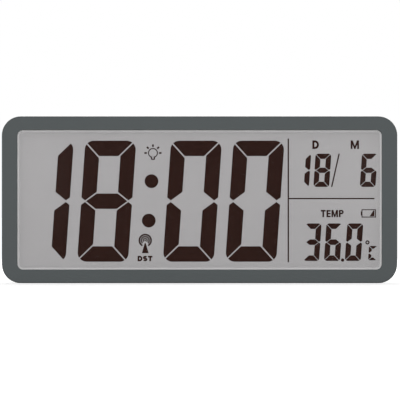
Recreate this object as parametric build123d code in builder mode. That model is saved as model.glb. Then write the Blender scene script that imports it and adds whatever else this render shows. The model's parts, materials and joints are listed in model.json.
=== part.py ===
from build123d import *
import os
from math import cos, hypot, pi, radians, sin, sqrt, tan

# A large liquid crystal clock for a wall or a table, upright, with its stand folded away.
# X runs to the right as seen from the front, Y from the front to the back and Z up, in mm.
# The origin is on the table, under the middle of the case.
# A depth is a distance behind the front face of the frame.

# Case
window_width = 336.5
window_height = 129.0
window_corner = 5.4
window_bevel = 0.4
side_frame = 14.25
top_frame = 12.5
case_corner = 17.5
wall = 2.2
bezel_depth = 15.0
front_edge = 1.3
back_edge = 4.0
lip_height = 2.5
lip_thickness = 1.2
part_line = 0.3
part_gap = 0.3
slip = 0.2
least_corner = 0.6

# Lens
lens_recess = 0.5
lens_gap = 0.2
lens_bevel = 1.6
lens_bevel_depth = 0.5
lens_flange = 1.2
lens_overlap = 3.5
tape_thickness = 0.25
gasket_thickness = 0.5
gasket_width = 1.4

# Display cell and its light
glass_overlap = 2.0
contact_overlap = 4.0
contact_ledge = 3.0
polariser_margin = 0.5
polariser_thickness = 0.2
glass_thickness = 1.1
cell_thickness = 0.1
seal_width = 1.2
guide_thickness = 3.0
led_depth = 1.0
led_width = 3.2
led_height = 2.0
led_pitch = 26.0
leds_per_side = 4
led_board_thickness = 1.0
reflector_thickness = 0.2

# Display digits: the time fills the space left between margins of the window
digit_slant = 0.069
time_from_left = 1.25
time_from_right = 93.6
time_from_top = 9.95
time_from_bottom = 7.3
time_space = 10.6
time_upright = 13.75
time_level = 14.2
time_gap = 1.15
time_mitre_shift = 1.05
time_corner = 8.3
colon_space = 21.45
colon_radius = 6.35
colon_rise = 18.2
colon_lift = 0.3
colon_from_minutes = 15.5
date_height = 30.75
date_width = 14.6
date_stroke = 4.85
date_rise = 27.2
date_tens_from_right = 73.45
date_units_from_right = 54.85
month_from_right = 12.0
slash_from_right = 42.8
slash_lean = 6.9
slash_width = 1.3
temperature_height = 34.65
temperature_width = 14.85
temperature_stroke = 5.1
temperature_from_bottom = 8.0
temperature_pitch = 19.25
temperature_from_right = 25.6
point_from_right = 36.15
point_radius = 1.55
point_drop = 0.75
small_gap = 0.45
small_corner = 2.9
small_mitre_shift = 0.35
unit_height = 13.2
unit_width = 7.9
unit_upright = 2.8
unit_level = 2.5
unit_corner = 1.6
unit_rise = 0.65
unit_from_right = 8.3
degree_from_right = 13.2
degree_rise = -0.2
degree_radius = 1.95
degree_hole = 0.75
divider_width = 1.3
divider_from_right = 86.3
divider_from_top = 8.0
divider_from_bottom = 6.7
ruler_thickness = 1.2
ruler_length = 79.6
ruler_rise = 1.1

# Display tray
tray_floor = 1.6
tray_rim = 1.2
tray_post_radius = 3.0
tray_post_spread = 74.0
tray_ear = 0.8

# Boards
board_width = 184.0
board_height = 52.0
board_thickness = 1.6
board_standoff = 2.0
board_margin = 2.0
standoff_radius = 2.6
standoff_inset = 4.0
strip_thickness = 2.0
strip_inset = 12.0
receiver_width = 24.0
receiver_height = 14.0
receiver_thickness = 1.0
header_height = 2.5
header_width = 10.0

# Parts on the main board, placed from the middle of its bottom edge or in from its sides
chip_at = (0.0, 8.0)
chip_radius = 7.0
chip_height = 1.6
chip_edge = 0.8
crystal_at = (22.0, 6.0)
crystal_radius = 1.5
crystal_length = 8.0
capacitor_at = (40.0, 8.0)
capacitor_radius = 3.2
capacitor_height = 8.0
capacitor_edge = 0.8
small_parts_at = (-34.0, 8.0)
small_part_pitch = 5.0
small_part_length = 2.0
small_part_width = 1.25
small_part_height = 0.6
small_part_columns = 6
small_part_rows = 2
sensor_inset = 14.0
sensor_rise = 8.0
sensor_radius = 1.6
sensor_stand = 6.0
sensor_leg_radius = 0.3
sensor_leg_spacing = 1.8
receiver_inset = 14.0
receiver_rise = 9.0
lamp_pad_inset = 5.0
lamp_pad_rise = 20.5

# Buttons and their switches
button_pitch = 20.0
button_rise = 25.0
button_width = 12.0
button_height = 7.0
button_corner = 2.0
button_recess = 0.3
button_edge = 0.6
button_flange = 1.2
button_travel = 0.6
button_stem_radius = 2.0
switch_size = 6.0
switch_height = 3.5
plunger_radius = 1.7
plunger_length = 3.5
plunger_stand = 2.0
plunger_clearance = 0.1

# Screws
case_boss_radius = 3.4
case_screw_radius = 1.5
case_screw_head = 2.8
case_screw_head_height = 1.8
case_screw_length = 12.0
case_screw_shoulder = 2.5
case_screw_inset = 22.0
tube_wall = 1.2
small_screw_radius = 1.1
small_screw_head = 2.2
small_screw_head_height = 1.3
tray_screw_length = 6.5
board_screw_length = 4.0
screw_fit = 0.05
head_fit = 0.3
head_edge = 0.5
pilot_spare = 1.0
drive_width = 0.7
drive_depth = 0.9

# Stand
stand_width = 96.0
stand_thickness = 3.2
stand_corner = 8.0
stand_edge = 0.8
stand_foot = 1.5
stand_recess = 0.2
stand_hinge_height = 72.0
stand_barrel = 2.2
stand_heel = 4.5
stand_angle = 35.0
stop_gap = 0.1
pocket_gap = 0.5
pocket_wall = 1.6
pocket_side = 3.6
stand_pin = 1.25
stand_pin_length = 2.5
pin_clearance = 0.05
pin_end_gap = 0.3
stand_grip_width = 40.0
stand_grip_height = 12.0
stand_grip_rise = 4.0
grip_depth = 0.8
grip_corner = 1.5

# Battery box and door
battery_x = 108.0
battery_height = 42.0
cell_length = 50.5
cell_diameter = 14.5
cell_nub = 1.0
cell_nub_radius = 2.75
cell_edge = 0.4
cell_clearance = 0.3
cell_spacing = 0.5
floor_gap = 0.8
battery_floor = 1.2
battery_ledge = 1.5
battery_wall = 2.5
door_recess = 0.2
door_edge = 0.4
door_barrel = 1.8
door_pin = 1.0
door_pin_length = 1.6
door_grip_width = 24.0
door_grip_height = 9.6
door_grip_drop = 3.5
catch_width = 14.0
catch_length = 3.0
catch_thickness = 1.2
scoop_radius = 14.0
scoop_depth = 1.2
contact_thickness = 0.5
contact_size = 10.0
tab_width = 4.0
tab_reach = 2.5
spring_length = 6.5
spring_wire_radius = 0.4
spring_wide = 4.6
spring_narrow = 2.6
spring_turns = 4
spring_samples = 24

# Keyholes, vents and label recess in the back
keyhole_spacing = 240.0
keyhole_drop = 30.0
keyhole_radius = 4.5
keyhole_slot = 4.6
keyhole_rise = 9.0
vent_height = 14.0
vent_width = 1.8
vent_pitch = 4.2
vent_count = 5
label_width = 62.0
label_height = 30.0
label_depth = 0.3
label_corner = 2.0
label_at = (-112.0, 40.0)

# Radio antenna
antenna_shift = 26.0
antenna_drop = 19.5
rod_radius = 4.0
rod_length = 60.0
rod_fit = 0.05
coil_length = 26.0
coil_wall = 1.2
coil_fit = 0.05
cradle_base = 2.0
cradle_width = 12.0
cradle_thickness = 2.5
cradle_offset = 26.0

# Leads
battery_lead = 1.4
battery_lead_bend = 4.0
battery_lead_out = 6.0
battery_lead_spacing = 4.0
board_pad_rise = 5.0
antenna_lead = 0.8
antenna_lead_bend = 1.8
antenna_lead_out = 5.0
antenna_lead_spacing = 4.0
antenna_lead_angle = 15.0
lamp_lead = 1.2
lamp_lead_height = 2.0
lamp_lead_bends = (2.0, 1.2)

# Overall sizes
case_width = window_width + 2 * side_frame
case_height = window_height + 2 * top_frame
middle = case_height / 2
case_centre = (0, middle)
window_right = window_width / 2
window_bottom = middle - window_height / 2

# Depths through the display, from the front to the back
flange_front = wall + tape_thickness
flange_back = flange_front + lens_flange
polariser_front = flange_back + gasket_thickness
front_glass_front = polariser_front + polariser_thickness
cell_front = front_glass_front + glass_thickness
cell_back = cell_front + cell_thickness
rear_polariser_front = cell_back + glass_thickness
guide_front = rear_polariser_front + polariser_thickness
reflector_front = guide_front + guide_thickness
tray_front = reflector_front + reflector_thickness
tray_back = tray_front + tray_floor
board_front = tray_back + board_standoff
board_back = board_front + board_thickness

# Depths through the battery box, which set the depth of the case
floor_front = tray_back + floor_gap
floor_back = floor_front + battery_floor
battery_axis = floor_back + cell_clearance + cell_diameter / 2
back_wall = battery_axis + cell_diameter / 2 + cell_clearance
case_depth = back_wall + wall

# Outline of the display glass
glass_width = window_width + 2 * glass_overlap
glass_bottom = top_frame - glass_overlap
glass_top = case_height - top_frame + contact_overlap
cell_top = glass_top - contact_ledge

# Tray, bosses and board
tray_width = glass_width + 2 * (part_gap + tray_rim)
boss_x = tray_width / 2 + part_gap + case_boss_radius
case_screws_at = [
    (x, z) for x in (-boss_x, boss_x) for z in (case_screw_inset, case_height - case_screw_inset)
]
tray_posts_at = [
    (x, middle + z) for x in (-boss_x, boss_x) for z in (-tray_post_spread / 2, tray_post_spread / 2)
]
board_top = glass_top + board_margin
board_bottom = board_top - board_height
board_centre = (0, (board_top + board_bottom) / 2)
board_holes_at = [
    (x, z)
    for x in (standoff_inset - board_width / 2, board_width / 2 - standoff_inset)
    for z in (board_bottom + standoff_inset, board_top - standoff_inset)
]
guide_width = glass_width - 2 * (led_depth + led_board_thickness + part_gap)
led_board_x = guide_width / 2 + led_depth + led_board_thickness / 2
led_positions = [middle + led_pitch * (i - (leds_per_side - 1) / 2) for i in range(leds_per_side)]

# Buttons from left to right, as seen from the front
button_names = ["light", "wave", "unit", "down", "up", "set"]
button_z = board_bottom + button_rise
button_x = {
    name: button_pitch * (i - (len(button_names) - 1) / 2) for i, name in enumerate(button_names)
}
switch_back = board_back + switch_height
plunger_back = switch_back + plunger_stand

# Stand and its pocket
stand_back = case_depth - stand_recess
stand_axis = stand_back - stand_barrel
pocket_floor = stand_axis - stand_barrel - part_gap
pocket_width = stand_width + 2 * pocket_gap
pocket_top = stand_hinge_height + hypot(stand_barrel, stand_heel) + part_gap

# Battery box, from its cells outwards
cavity_length = cell_length + spring_length + 2 * contact_thickness
cavity_height = 2 * cell_diameter + cell_spacing + 2 * cell_clearance
cavity_left = battery_x - cavity_length / 2
cavity_right = battery_x + cavity_length / 2
cavity_bottom = battery_height - cavity_height / 2
cavity_top = battery_height + cavity_height / 2
hinge_strip = 2 * (door_barrel + part_gap)
opening_width = cavity_length + 2 * battery_ledge
opening_bottom = cavity_bottom - hinge_strip
opening_top = cavity_top + battery_ledge
upper_cell_z = battery_height + (cell_diameter + cell_spacing) / 2
lower_cell_z = battery_height - (cell_diameter + cell_spacing) / 2
tab_end = cavity_left - battery_ledge - battery_wall - tab_reach
door_back = case_depth - door_recess
door_axis = door_back - door_barrel
door_hinge_z = opening_bottom + part_gap + door_barrel

# Receiver and antenna
receiver_centre = (receiver_inset - board_width / 2, board_bottom + receiver_rise)
receiver_front = board_back + header_height
receiver_back = receiver_front + receiver_thickness
rod_axis = back_wall - cradle_base - rod_radius
coil_radius = rod_radius + coil_fit + coil_wall

# Bars lit for each figure: a top, b and c right, d bottom, e and f left, g middle
figure_bars = {"0": "abcdef", "1": "bc", "3": "abcdg", "6": "acdefg", "8": "abcdefg", "C": "adef"}
bar_tip_angle = radians(37.5)
bar_tip_share = 0.26


def deep(depth):
    """Y coordinate of a depth behind the front face."""
    return depth - case_depth / 2


def facing(depth):
    """Plane at a depth, with X to the right, Z up and its normal to the front."""
    return Plane.XZ.offset(-deep(depth))


def on_board(place):
    """Position given from the middle of the main board's bottom edge."""
    return (place[0], board_bottom + place[1])


def plate(width, height, front, back, centre, corner=0.0):
    """Flat plate between two depths, with square or rounded corners."""
    with BuildPart() as piece:
        with BuildSketch(facing(back)):
            with Locations(centre):
                if corner > 0:
                    RectangleRounded(width, height, corner)
                else:
                    Rectangle(width, height)
        extrude(amount=back - front)
    return piece


def ring(width, height, corner, border, front, back, centre):
    """Flat frame between two depths, of an even border inside a rounded outline."""
    with BuildPart() as piece:
        with BuildSketch(facing(back)):
            with Locations(centre):
                RectangleRounded(width, height, corner)
                RectangleRounded(
                    width - 2 * border,
                    height - 2 * border,
                    max(corner - border, least_corner),
                    mode=Mode.SUBTRACT,
                )
        extrude(amount=back - front)
    return piece


def screws(places, seat, radius, length, head_radius, head_height):
    """Pan-head screws with a cross recess, driven in from the back onto a seat."""
    with BuildPart() as piece:
        with BuildSketch(facing(seat + head_height)):
            with Locations(*places):
                Circle(head_radius)
        extrude(amount=head_height)
        top_rims = piece.edges().group_by(Axis.Y)[-1]
        fillet(top_rims, head_edge)
        with BuildSketch(facing(seat)):
            with Locations(*places):
                Circle(radius)
        extrude(amount=length)
        with BuildSketch(facing(seat + head_height)):
            with Locations(*places):
                Rectangle(head_radius, drive_width)
                Rectangle(drive_width, head_radius)
        extrude(amount=drive_depth, mode=Mode.SUBTRACT)
    return piece


def lead(points, bends, diameter):
    """Insulated wire along straight runs and bends; each point is X, depth and Z."""
    route_points = [Vector(x, deep(depth), z) for x, depth, z in points]
    with BuildPart() as piece:
        with BuildLine() as route:
            FilletPolyline(*route_points, radius=bends)
        with BuildSketch(Plane(origin=route_points[0], z_dir=route_points[1] - route_points[0])):
            Circle(diameter / 2)
        sweep(path=route.wires()[0])
    return piece


def save(piece, name):
    """Label a finished piece and write it as one STEP file."""
    piece.part.label = name
    export_step(piece.part, f"parts/{name}.step")


os.makedirs("parts", exist_ok=True)

# Front bezel: frame, side walls, bosses for the case screws and posts for the tray
with BuildPart() as front_bezel:
    with BuildSketch(facing(bezel_depth)):
        with Locations(case_centre):
            RectangleRounded(case_width, case_height, case_corner)
    extrude(amount=bezel_depth)
    fillet(front_bezel.faces().sort_by(Axis.Y)[0].edges(), front_edge)
    chamfer(front_bezel.faces().sort_by(Axis.Y)[-1].edges(), part_line)
    with BuildSketch(facing(bezel_depth)):
        with Locations(case_centre):
            RectangleRounded(case_width - 2 * wall, case_height - 2 * wall, case_corner - wall)
    extrude(amount=bezel_depth - wall, mode=Mode.SUBTRACT)
    with BuildSketch(facing(wall)):
        with Locations(case_centre):
            RectangleRounded(window_width, window_height, window_corner)
    extrude(amount=wall, mode=Mode.SUBTRACT)
    chamfer(front_bezel.faces().sort_by(Axis.Y)[0].inner_wires()[0].edges(), window_bevel)
    with BuildSketch(facing(bezel_depth)):
        with Locations(*case_screws_at):
            Circle(case_boss_radius)
    extrude(amount=bezel_depth - wall)
    with BuildSketch(facing(tray_front)):
        with Locations(*tray_posts_at):
            Circle(tray_post_radius)
    extrude(amount=tray_front - wall)
    with BuildSketch(facing(bezel_depth)):
        with Locations(*case_screws_at):
            Circle(case_screw_radius + screw_fit)
    extrude(amount=case_screw_length - case_screw_shoulder + pilot_spare, mode=Mode.SUBTRACT)
    with BuildSketch(facing(tray_front)):
        with Locations(*tray_posts_at):
            Circle(small_screw_radius + screw_fit)
    extrude(amount=tray_screw_length - tray_floor + pilot_spare, mode=Mode.SUBTRACT)
save(front_bezel, "front_bezel")

# Lens: a bevelled plateau in the window and a flange behind the frame
with BuildPart() as display_lens:
    with BuildSketch(facing(flange_front)):
        with Locations(case_centre):
            RectangleRounded(
                window_width - 2 * lens_gap, window_height - 2 * lens_gap, window_corner - lens_gap
            )
    extrude(amount=flange_front - lens_recess)
    lens_face = display_lens.faces().sort_by(Axis.Y)[0]
    chamfer(lens_face.edges(), lens_bevel, lens_bevel_depth, reference=lens_face)
    with BuildSketch(facing(flange_back)):
        with Locations(case_centre):
            RectangleRounded(
                window_width + 2 * lens_overlap,
                window_height + 2 * lens_overlap,
                window_corner + lens_overlap,
            )
    extrude(amount=lens_flange)
save(display_lens, "display_lens")

lens_tape = ring(
    window_width + 2 * lens_overlap,
    window_height + 2 * lens_overlap,
    window_corner + lens_overlap,
    lens_overlap - lens_gap,
    wall,
    flange_front,
    case_centre,
)
save(lens_tape, "lens_tape")
display_gasket = ring(
    window_width + 2 * glass_overlap,
    window_height + 2 * glass_overlap,
    window_corner + glass_overlap,
    gasket_width,
    flange_back,
    polariser_front,
    case_centre,
)
save(display_gasket, "display_gasket")


def display_layer(front, back, top, margin=0.0, width=glass_width):
    """Sheet of the display between two depths, from the glass's bottom edge up to a height."""
    bottom = glass_bottom + margin
    height = top - margin - bottom
    return plate(width - 2 * margin, height, front, back, (0, bottom + height / 2))


# Liquid crystal cell, its light guide and the reflector behind it
front_polariser = display_layer(polariser_front, front_glass_front, glass_top, polariser_margin)
save(front_polariser, "front_polariser")
front_glass = display_layer(front_glass_front, cell_front, glass_top)
save(front_glass, "front_glass")
cell_centre = (0, (glass_bottom + cell_top) / 2)
cell_seal = ring(
    glass_width, cell_top - glass_bottom, seal_width, seal_width, cell_front, cell_back, cell_centre
)
save(cell_seal, "cell_seal")
rear_glass = display_layer(cell_back, rear_polariser_front, cell_top)
save(rear_glass, "rear_glass")
rear_polariser = display_layer(rear_polariser_front, guide_front, cell_top, polariser_margin)
save(rear_polariser, "rear_polariser")
light_guide = display_layer(guide_front, reflector_front, cell_top, width=guide_width)
save(light_guide, "light_guide")
reflector_sheet = display_layer(reflector_front, tray_front, cell_top, width=guide_width)
save(reflector_sheet, "reflector_sheet")


def bar_points(bar, width, height, upright, level, gap, shift):
    """Corners of one bar of a figure that stands upright about its centre.

    Upright and level bars have their own breadths, and the mitres stand off to the left by a shift.
    """
    half_width = width / 2
    half_height = height / 2
    mitre = hypot(upright, level)
    across = gap / 2 * mitre / level
    tip = bar_tip_share * upright
    slope = tan(bar_tip_angle)
    lift = gap / 2 / cos(bar_tip_angle)
    top = [
        (across - half_width - shift, half_height),
        (half_width - across - shift, half_height),
        (half_width - upright - across - shift, half_height - level),
        (upright + across - half_width - shift, half_height - level),
    ]

    def side(mitre_shift):
        drop = gap / 2 * mitre / upright + mitre_shift * level / upright
        return [
            (-half_width, half_height - drop),
            (upright - half_width, half_height - level - drop),
            (upright - half_width, slope * (upright - tip) + lift),
            (tip - half_width, lift),
            (-half_width, slope * tip + lift),
        ]

    tip_x = half_width - tip - lift / slope
    shoulder_x = half_width - tip - (level / 2 + lift) / slope
    centre_bar = [
        (-tip_x, 0),
        (-shoulder_x, level / 2),
        (shoulder_x, level / 2),
        (tip_x, 0),
        (shoulder_x, -level / 2),
        (-shoulder_x, -level / 2),
    ]
    forms = {
        "a": (top, 1, 1),
        "b": (side(-shift), -1, 1),
        "c": (side(-shift), -1, -1),
        "d": (top, 1, -1),
        "e": (side(shift), 1, -1),
        "f": (side(shift), 1, 1),
        "g": (centre_bar, 1, 1),
    }
    points, flip_x, flip_z = forms[bar]
    return [(flip_x * x, flip_z * z) for x, z in points]


def slanted(points):
    """Lean points about their centre the way the display's figures lean."""
    return [(x + digit_slant * z, z) for x, z in points]


def figure(character, width, height, upright, level, gap, corner, shift=0.0):
    """Lit bars of one seven-bar figure, with the outer corners of the figure rounded."""
    corners = [(x * width / 2, z * height / 2) for x, z in ((-1, -1), (1, -1), (1, 1), (-1, 1))]
    with BuildSketch() as outline:
        with BuildLine():
            Polyline(*slanted(corners), close=True)
        make_face()
        fillet(outline.vertices(), corner)
    with BuildSketch() as bars:
        for bar in figure_bars[character]:
            with BuildLine():
                points = bar_points(bar, width, height, upright, level, gap, shift)
                Polyline(*slanted(points), close=True)
            make_face()
        add(outline.sketch, mode=Mode.INTERSECT)
    return bars.sketch


def segments(placed_figures):
    """Segment layer of the display holding figures at their places."""
    with BuildPart() as piece:
        with BuildSketch(facing(cell_back)):
            for shape, x, z in placed_figures:
                with Locations((x, z)):
                    add(shape)
        extrude(amount=cell_thickness)
    return piece


# Time, in slanted figures; the tens of hours show only their two right-hand bars
time_figures = 4
spaces = colon_space + (time_figures - 1) * time_space
time_width = (window_width - time_from_left - time_from_right - spaces) / time_figures
time_height = window_height - time_from_top - time_from_bottom
time_pitch = time_width + time_space
time_bars = (time_upright, time_level, time_gap, time_corner, time_mitre_shift)
time_size = (time_width, time_height, *time_bars)
time_z = window_bottom + time_from_bottom + time_height / 2
minute_units_x = window_right - time_from_right - time_width / 2
minute_tens_x = minute_units_x - time_pitch
hour_units_x = minute_tens_x - time_pitch - colon_space
hour_tens_x = hour_units_x - time_pitch
zero = figure("0", *time_size)
hour_digits = segments(
    [(figure("1", *time_size), hour_tens_x, time_z), (figure("8", *time_size), hour_units_x, time_z)]
)
save(hour_digits, "hour_digits")
minute_digits = segments([(zero, minute_tens_x, time_z), (zero, minute_units_x, time_z)])
save(minute_digits, "minute_digits")

with BuildPart() as colon_dots:
    colon_x = minute_tens_x - time_width / 2 - colon_from_minutes
    colon_z = time_z + colon_lift
    dots = [(colon_x + digit_slant * rise, colon_z + rise) for rise in (-colon_rise, colon_rise)]
    with BuildSketch(facing(cell_back)):
        with Locations(*dots):
            Circle(colon_radius)
    extrude(amount=cell_thickness)
save(colon_dots, "colon_dots")

# Date: day, slash and month
small_ends = (small_gap, small_corner, small_mitre_shift)
date_size = (date_width, date_height, date_stroke, date_stroke, *small_ends)
date_z = middle + date_rise
date_figures = [
    (figure("1", *date_size), window_right - date_tens_from_right, date_z),
    (figure("8", *date_size), window_right - date_units_from_right, date_z),
    (figure("6", *date_size), window_right - month_from_right, date_z),
]
slash_x = window_right - slash_from_right
with BuildSketch() as slash:
    with BuildLine():
        Polyline(
            (-slash_lean / 2 - slash_width / 2, -date_height / 2),
            (-slash_lean / 2 + slash_width / 2, -date_height / 2),
            (slash_lean / 2 + slash_width / 2, date_height / 2),
            (slash_lean / 2 - slash_width / 2, date_height / 2),
            close=True,
        )
    make_face()
date_digits = segments(date_figures + [(slash.sketch, slash_x, date_z)])
save(date_digits, "date_digits")

# Temperature: three figures, the decimal point, the degree ring and its unit
temperature_bars = (temperature_stroke, temperature_stroke, *small_ends)
temperature_size = (temperature_width, temperature_height, *temperature_bars)
temperature_z = window_bottom + temperature_from_bottom + temperature_height / 2
temperature_x = window_right - temperature_from_right
with BuildSketch() as decimal_point:
    Circle(point_radius)
with BuildSketch() as degree_ring:
    Circle(degree_radius)
    Circle(degree_hole, mode=Mode.SUBTRACT)
row_bottom = temperature_z - temperature_height / 2
point_z = row_bottom - point_drop + point_radius
unit_size = (unit_width, unit_height, unit_upright, unit_level, small_gap, unit_corner)
unit_z = row_bottom + unit_rise + unit_height / 2
temperature_digits = segments(
    [
        (figure("3", *temperature_size), temperature_x - 2 * temperature_pitch, temperature_z),
        (figure("6", *temperature_size), temperature_x - temperature_pitch, temperature_z),
        (figure("0", *temperature_size), temperature_x, temperature_z),
        (decimal_point.sketch, window_right - point_from_right, point_z),
        (degree_ring.sketch, window_right - degree_from_right, temperature_z + degree_rise),
        (figure("C", *unit_size), window_right - unit_from_right, unit_z),
    ]
)
save(temperature_digits, "temperature_digits")

# Lines that rule off the right-hand column and part its two rows
with BuildPart() as divider_lines:
    divider_x = window_right - divider_from_right
    divider_length = window_height - divider_from_top - divider_from_bottom
    with BuildSketch(facing(cell_back)):
        with Locations((divider_x, window_bottom + divider_from_bottom + divider_length / 2)):
            Rectangle(divider_width, divider_length)
        with Locations((divider_x + ruler_length / 2, middle + ruler_rise)):
            Rectangle(ruler_length, ruler_thickness)
    extrude(amount=cell_thickness)
save(divider_lines, "divider_lines")

# Lamps at both ends of the light guide
with BuildPart() as backlight_boards:
    with BuildSketch(facing(tray_front)):
        with Locations((-led_board_x, middle), (led_board_x, middle)):
            Rectangle(led_board_thickness, led_pitch * leds_per_side)
    extrude(amount=tray_front - guide_front)
save(backlight_boards, "backlight_boards")
led_x = guide_width / 2 + led_depth / 2
led_back = guide_front + (guide_thickness + led_height) / 2
with BuildPart() as backlight_leds:
    with BuildSketch(facing(led_back)):
        with Locations(*[(x, z) for x in (-led_x, led_x) for z in led_positions]):
            Rectangle(led_depth, led_width)
    extrude(amount=led_height)
save(backlight_leds, "backlight_leds")

# Tray that carries the display and the main board, screwed to the bezel's posts
strip_length = board_width - 2 * strip_inset
strip_z = glass_top - contact_ledge / 2
lamp_pad_z = board_bottom + lamp_pad_rise
tray_bottom = glass_bottom - part_gap - tray_rim
tray_top = glass_top + part_gap + tray_rim
tray_centre = (0, (tray_bottom + tray_top) / 2)
tray_height = tray_top - tray_bottom
ear_radius = tray_post_radius + tray_ear
with BuildPart() as display_tray:
    with BuildSketch(facing(tray_back)):
        with Locations(tray_centre):
            Rectangle(tray_width, tray_height)
        for x, z in tray_posts_at:
            with Locations((x, z)):
                Circle(ear_radius)
            with Locations((x / 2, z)):
                Rectangle(abs(x), 2 * ear_radius)
    extrude(amount=tray_floor)
    with BuildSketch(facing(tray_front)):
        with Locations(tray_centre):
            Rectangle(tray_width, tray_height)
            Rectangle(tray_width - 2 * tray_rim, tray_height - 2 * tray_rim, mode=Mode.SUBTRACT)
    extrude(amount=tray_front - polariser_front)
    with BuildSketch(facing(board_front)):
        with Locations(*board_holes_at):
            Circle(standoff_radius)
    extrude(amount=board_standoff)
    with BuildSketch(facing(board_front)):
        with Locations(*board_holes_at):
            Circle(small_screw_radius + screw_fit)
    extrude(amount=board_screw_length - board_thickness + slip, mode=Mode.SUBTRACT)
    with BuildSketch(facing(tray_back)):
        with Locations(*tray_posts_at):
            Circle(small_screw_radius + slip)
        with Locations((0, strip_z)):
            Rectangle(strip_length + 2 * slip, strip_thickness + 2 * slip)
        with Locations((-led_board_x, lamp_pad_z), (led_board_x, lamp_pad_z)):
            Circle(lamp_lead / 2 + slip)
    extrude(amount=tray_floor, mode=Mode.SUBTRACT)
save(display_tray, "display_tray")
tray_screws = screws(
    tray_posts_at,
    tray_back,
    small_screw_radius,
    tray_screw_length,
    small_screw_head,
    small_screw_head_height,
)
save(tray_screws, "tray_screws")

# Striped rubber connector between the display's ledge and the board
contact_strip = plate(strip_length, strip_thickness, cell_front, board_front, (0, strip_z))
save(contact_strip, "contact_strip")

# Main board and what is soldered to it
with BuildPart() as main_board:
    with BuildSketch(facing(board_back)):
        with Locations(board_centre):
            Rectangle(board_width, board_height)
        with Locations(*board_holes_at):
            Circle(small_screw_radius + slip, mode=Mode.SUBTRACT)
    extrude(amount=board_thickness)
save(main_board, "main_board")
board_screws = screws(
    board_holes_at,
    board_back,
    small_screw_radius,
    board_screw_length,
    small_screw_head,
    small_screw_head_height,
)
save(board_screws, "board_screws")

with BuildPart() as controller_chip:
    with BuildSketch(facing(board_back + chip_height)):
        with Locations(on_board(chip_at)):
            Circle(chip_radius)
    extrude(amount=chip_height)
    fillet(controller_chip.edges().group_by(Axis.Y)[-1], chip_edge)
save(controller_chip, "controller_chip")

crystal_x, crystal_z = on_board(crystal_at)
with BuildPart() as quartz_crystal:
    with BuildSketch(Plane.YZ.offset(crystal_x - crystal_length / 2)):
        with Locations((deep(board_back + crystal_radius), crystal_z)):
            Circle(crystal_radius)
    extrude(amount=crystal_length)
save(quartz_crystal, "quartz_crystal")

with BuildPart() as supply_capacitor:
    with BuildSketch(facing(board_back + capacitor_height)):
        with Locations(on_board(capacitor_at)):
            Circle(capacitor_radius)
    extrude(amount=capacitor_height)
    fillet(supply_capacitor.edges().group_by(Axis.Y)[-1], capacitor_edge)
save(supply_capacitor, "supply_capacitor")

small_parts_x, small_parts_z = on_board(small_parts_at)
with BuildPart() as chip_components:
    with BuildSketch(facing(board_back + small_part_height)):
        with Locations((small_parts_x, small_parts_z)):
            with GridLocations(small_part_pitch, small_part_pitch, small_part_columns, small_part_rows):
                Rectangle(small_part_length, small_part_width)
    extrude(amount=small_part_height)
save(chip_components, "chip_components")

sensor_x, sensor_z = on_board((board_width / 2 - sensor_inset, sensor_rise))
with BuildPart() as temperature_sensor:
    with BuildSketch(facing(board_back + sensor_stand)):
        with Locations(*[(sensor_x + side * sensor_leg_spacing / 2, sensor_z) for side in (-1, 1)]):
            Circle(sensor_leg_radius)
    extrude(amount=sensor_stand)
    with Locations((sensor_x, deep(board_back + sensor_stand), sensor_z)):
        Sphere(sensor_radius)
save(temperature_sensor, "temperature_sensor")

# Radio receiver on its header, and the ferrite antenna
receiver_board = plate(receiver_width, receiver_height, receiver_front, receiver_back, receiver_centre)
save(receiver_board, "receiver_board")
receiver_header = plate(header_width, header_height, board_back, receiver_front, receiver_centre)
save(receiver_header, "receiver_header")

antenna_x = receiver_centre[0] - antenna_shift
antenna_z = board_bottom - antenna_drop
with BuildPart() as ferrite_rod:
    with BuildSketch(Plane.YZ.offset(antenna_x - rod_length / 2)):
        with Locations((deep(rod_axis), antenna_z)):
            Circle(rod_radius)
    extrude(amount=rod_length)
save(ferrite_rod, "ferrite_rod")
with BuildPart() as antenna_coil:
    with BuildSketch(Plane.YZ.offset(antenna_x - coil_length / 2)):
        with Locations((deep(rod_axis), antenna_z)):
            Circle(coil_radius)
            Circle(rod_radius + coil_fit, mode=Mode.SUBTRACT)
    extrude(amount=coil_length)
save(antenna_coil, "antenna_coil")

# Switches on the board: fixed bodies, and a plunger that moves with each button
button_places = [(button_x[name], button_z) for name in button_names]
plunger_front = plunger_back - plunger_length
with BuildPart() as switch_bodies:
    with BuildSketch(facing(switch_back)):
        with Locations(*button_places):
            Rectangle(switch_size, switch_size)
    extrude(amount=switch_height)
    with BuildSketch(facing(switch_back)):
        with Locations(*button_places):
            Circle(plunger_radius + plunger_clearance)
    extrude(amount=switch_back - plunger_front + button_travel + slip, mode=Mode.SUBTRACT)
save(switch_bodies, "switch_bodies")

# Buttons: a cap in the back wall, a flange that keeps it in and a stem to the plunger
cap_back = case_depth - button_recess
flange_inner = back_wall - button_flange
for name in button_names:
    place = (button_x[name], button_z)
    with BuildPart() as plunger:
        with BuildSketch(facing(plunger_back)):
            with Locations(place):
                Circle(plunger_radius)
        extrude(amount=plunger_length)
    save(plunger, f"{name}_plunger")
    with BuildPart() as button:
        with BuildSketch(facing(cap_back)):
            with Locations(place):
                RectangleRounded(button_width, button_height, button_corner)
        extrude(amount=cap_back - flange_inner)
        fillet(button.edges().group_by(Axis.Y)[-1], button_edge)
        with BuildSketch(facing(back_wall)):
            with Locations(place):
                RectangleRounded(
                    button_width + 2 * button_flange,
                    button_height + 2 * button_flange,
                    button_corner + button_flange,
                )
        extrude(amount=button_flange)
        with BuildSketch(facing(flange_inner)):
            with Locations(place):
                Circle(button_stem_radius)
        extrude(amount=flange_inner - plunger_back)
    save(button, f"{name}_button")

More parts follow.
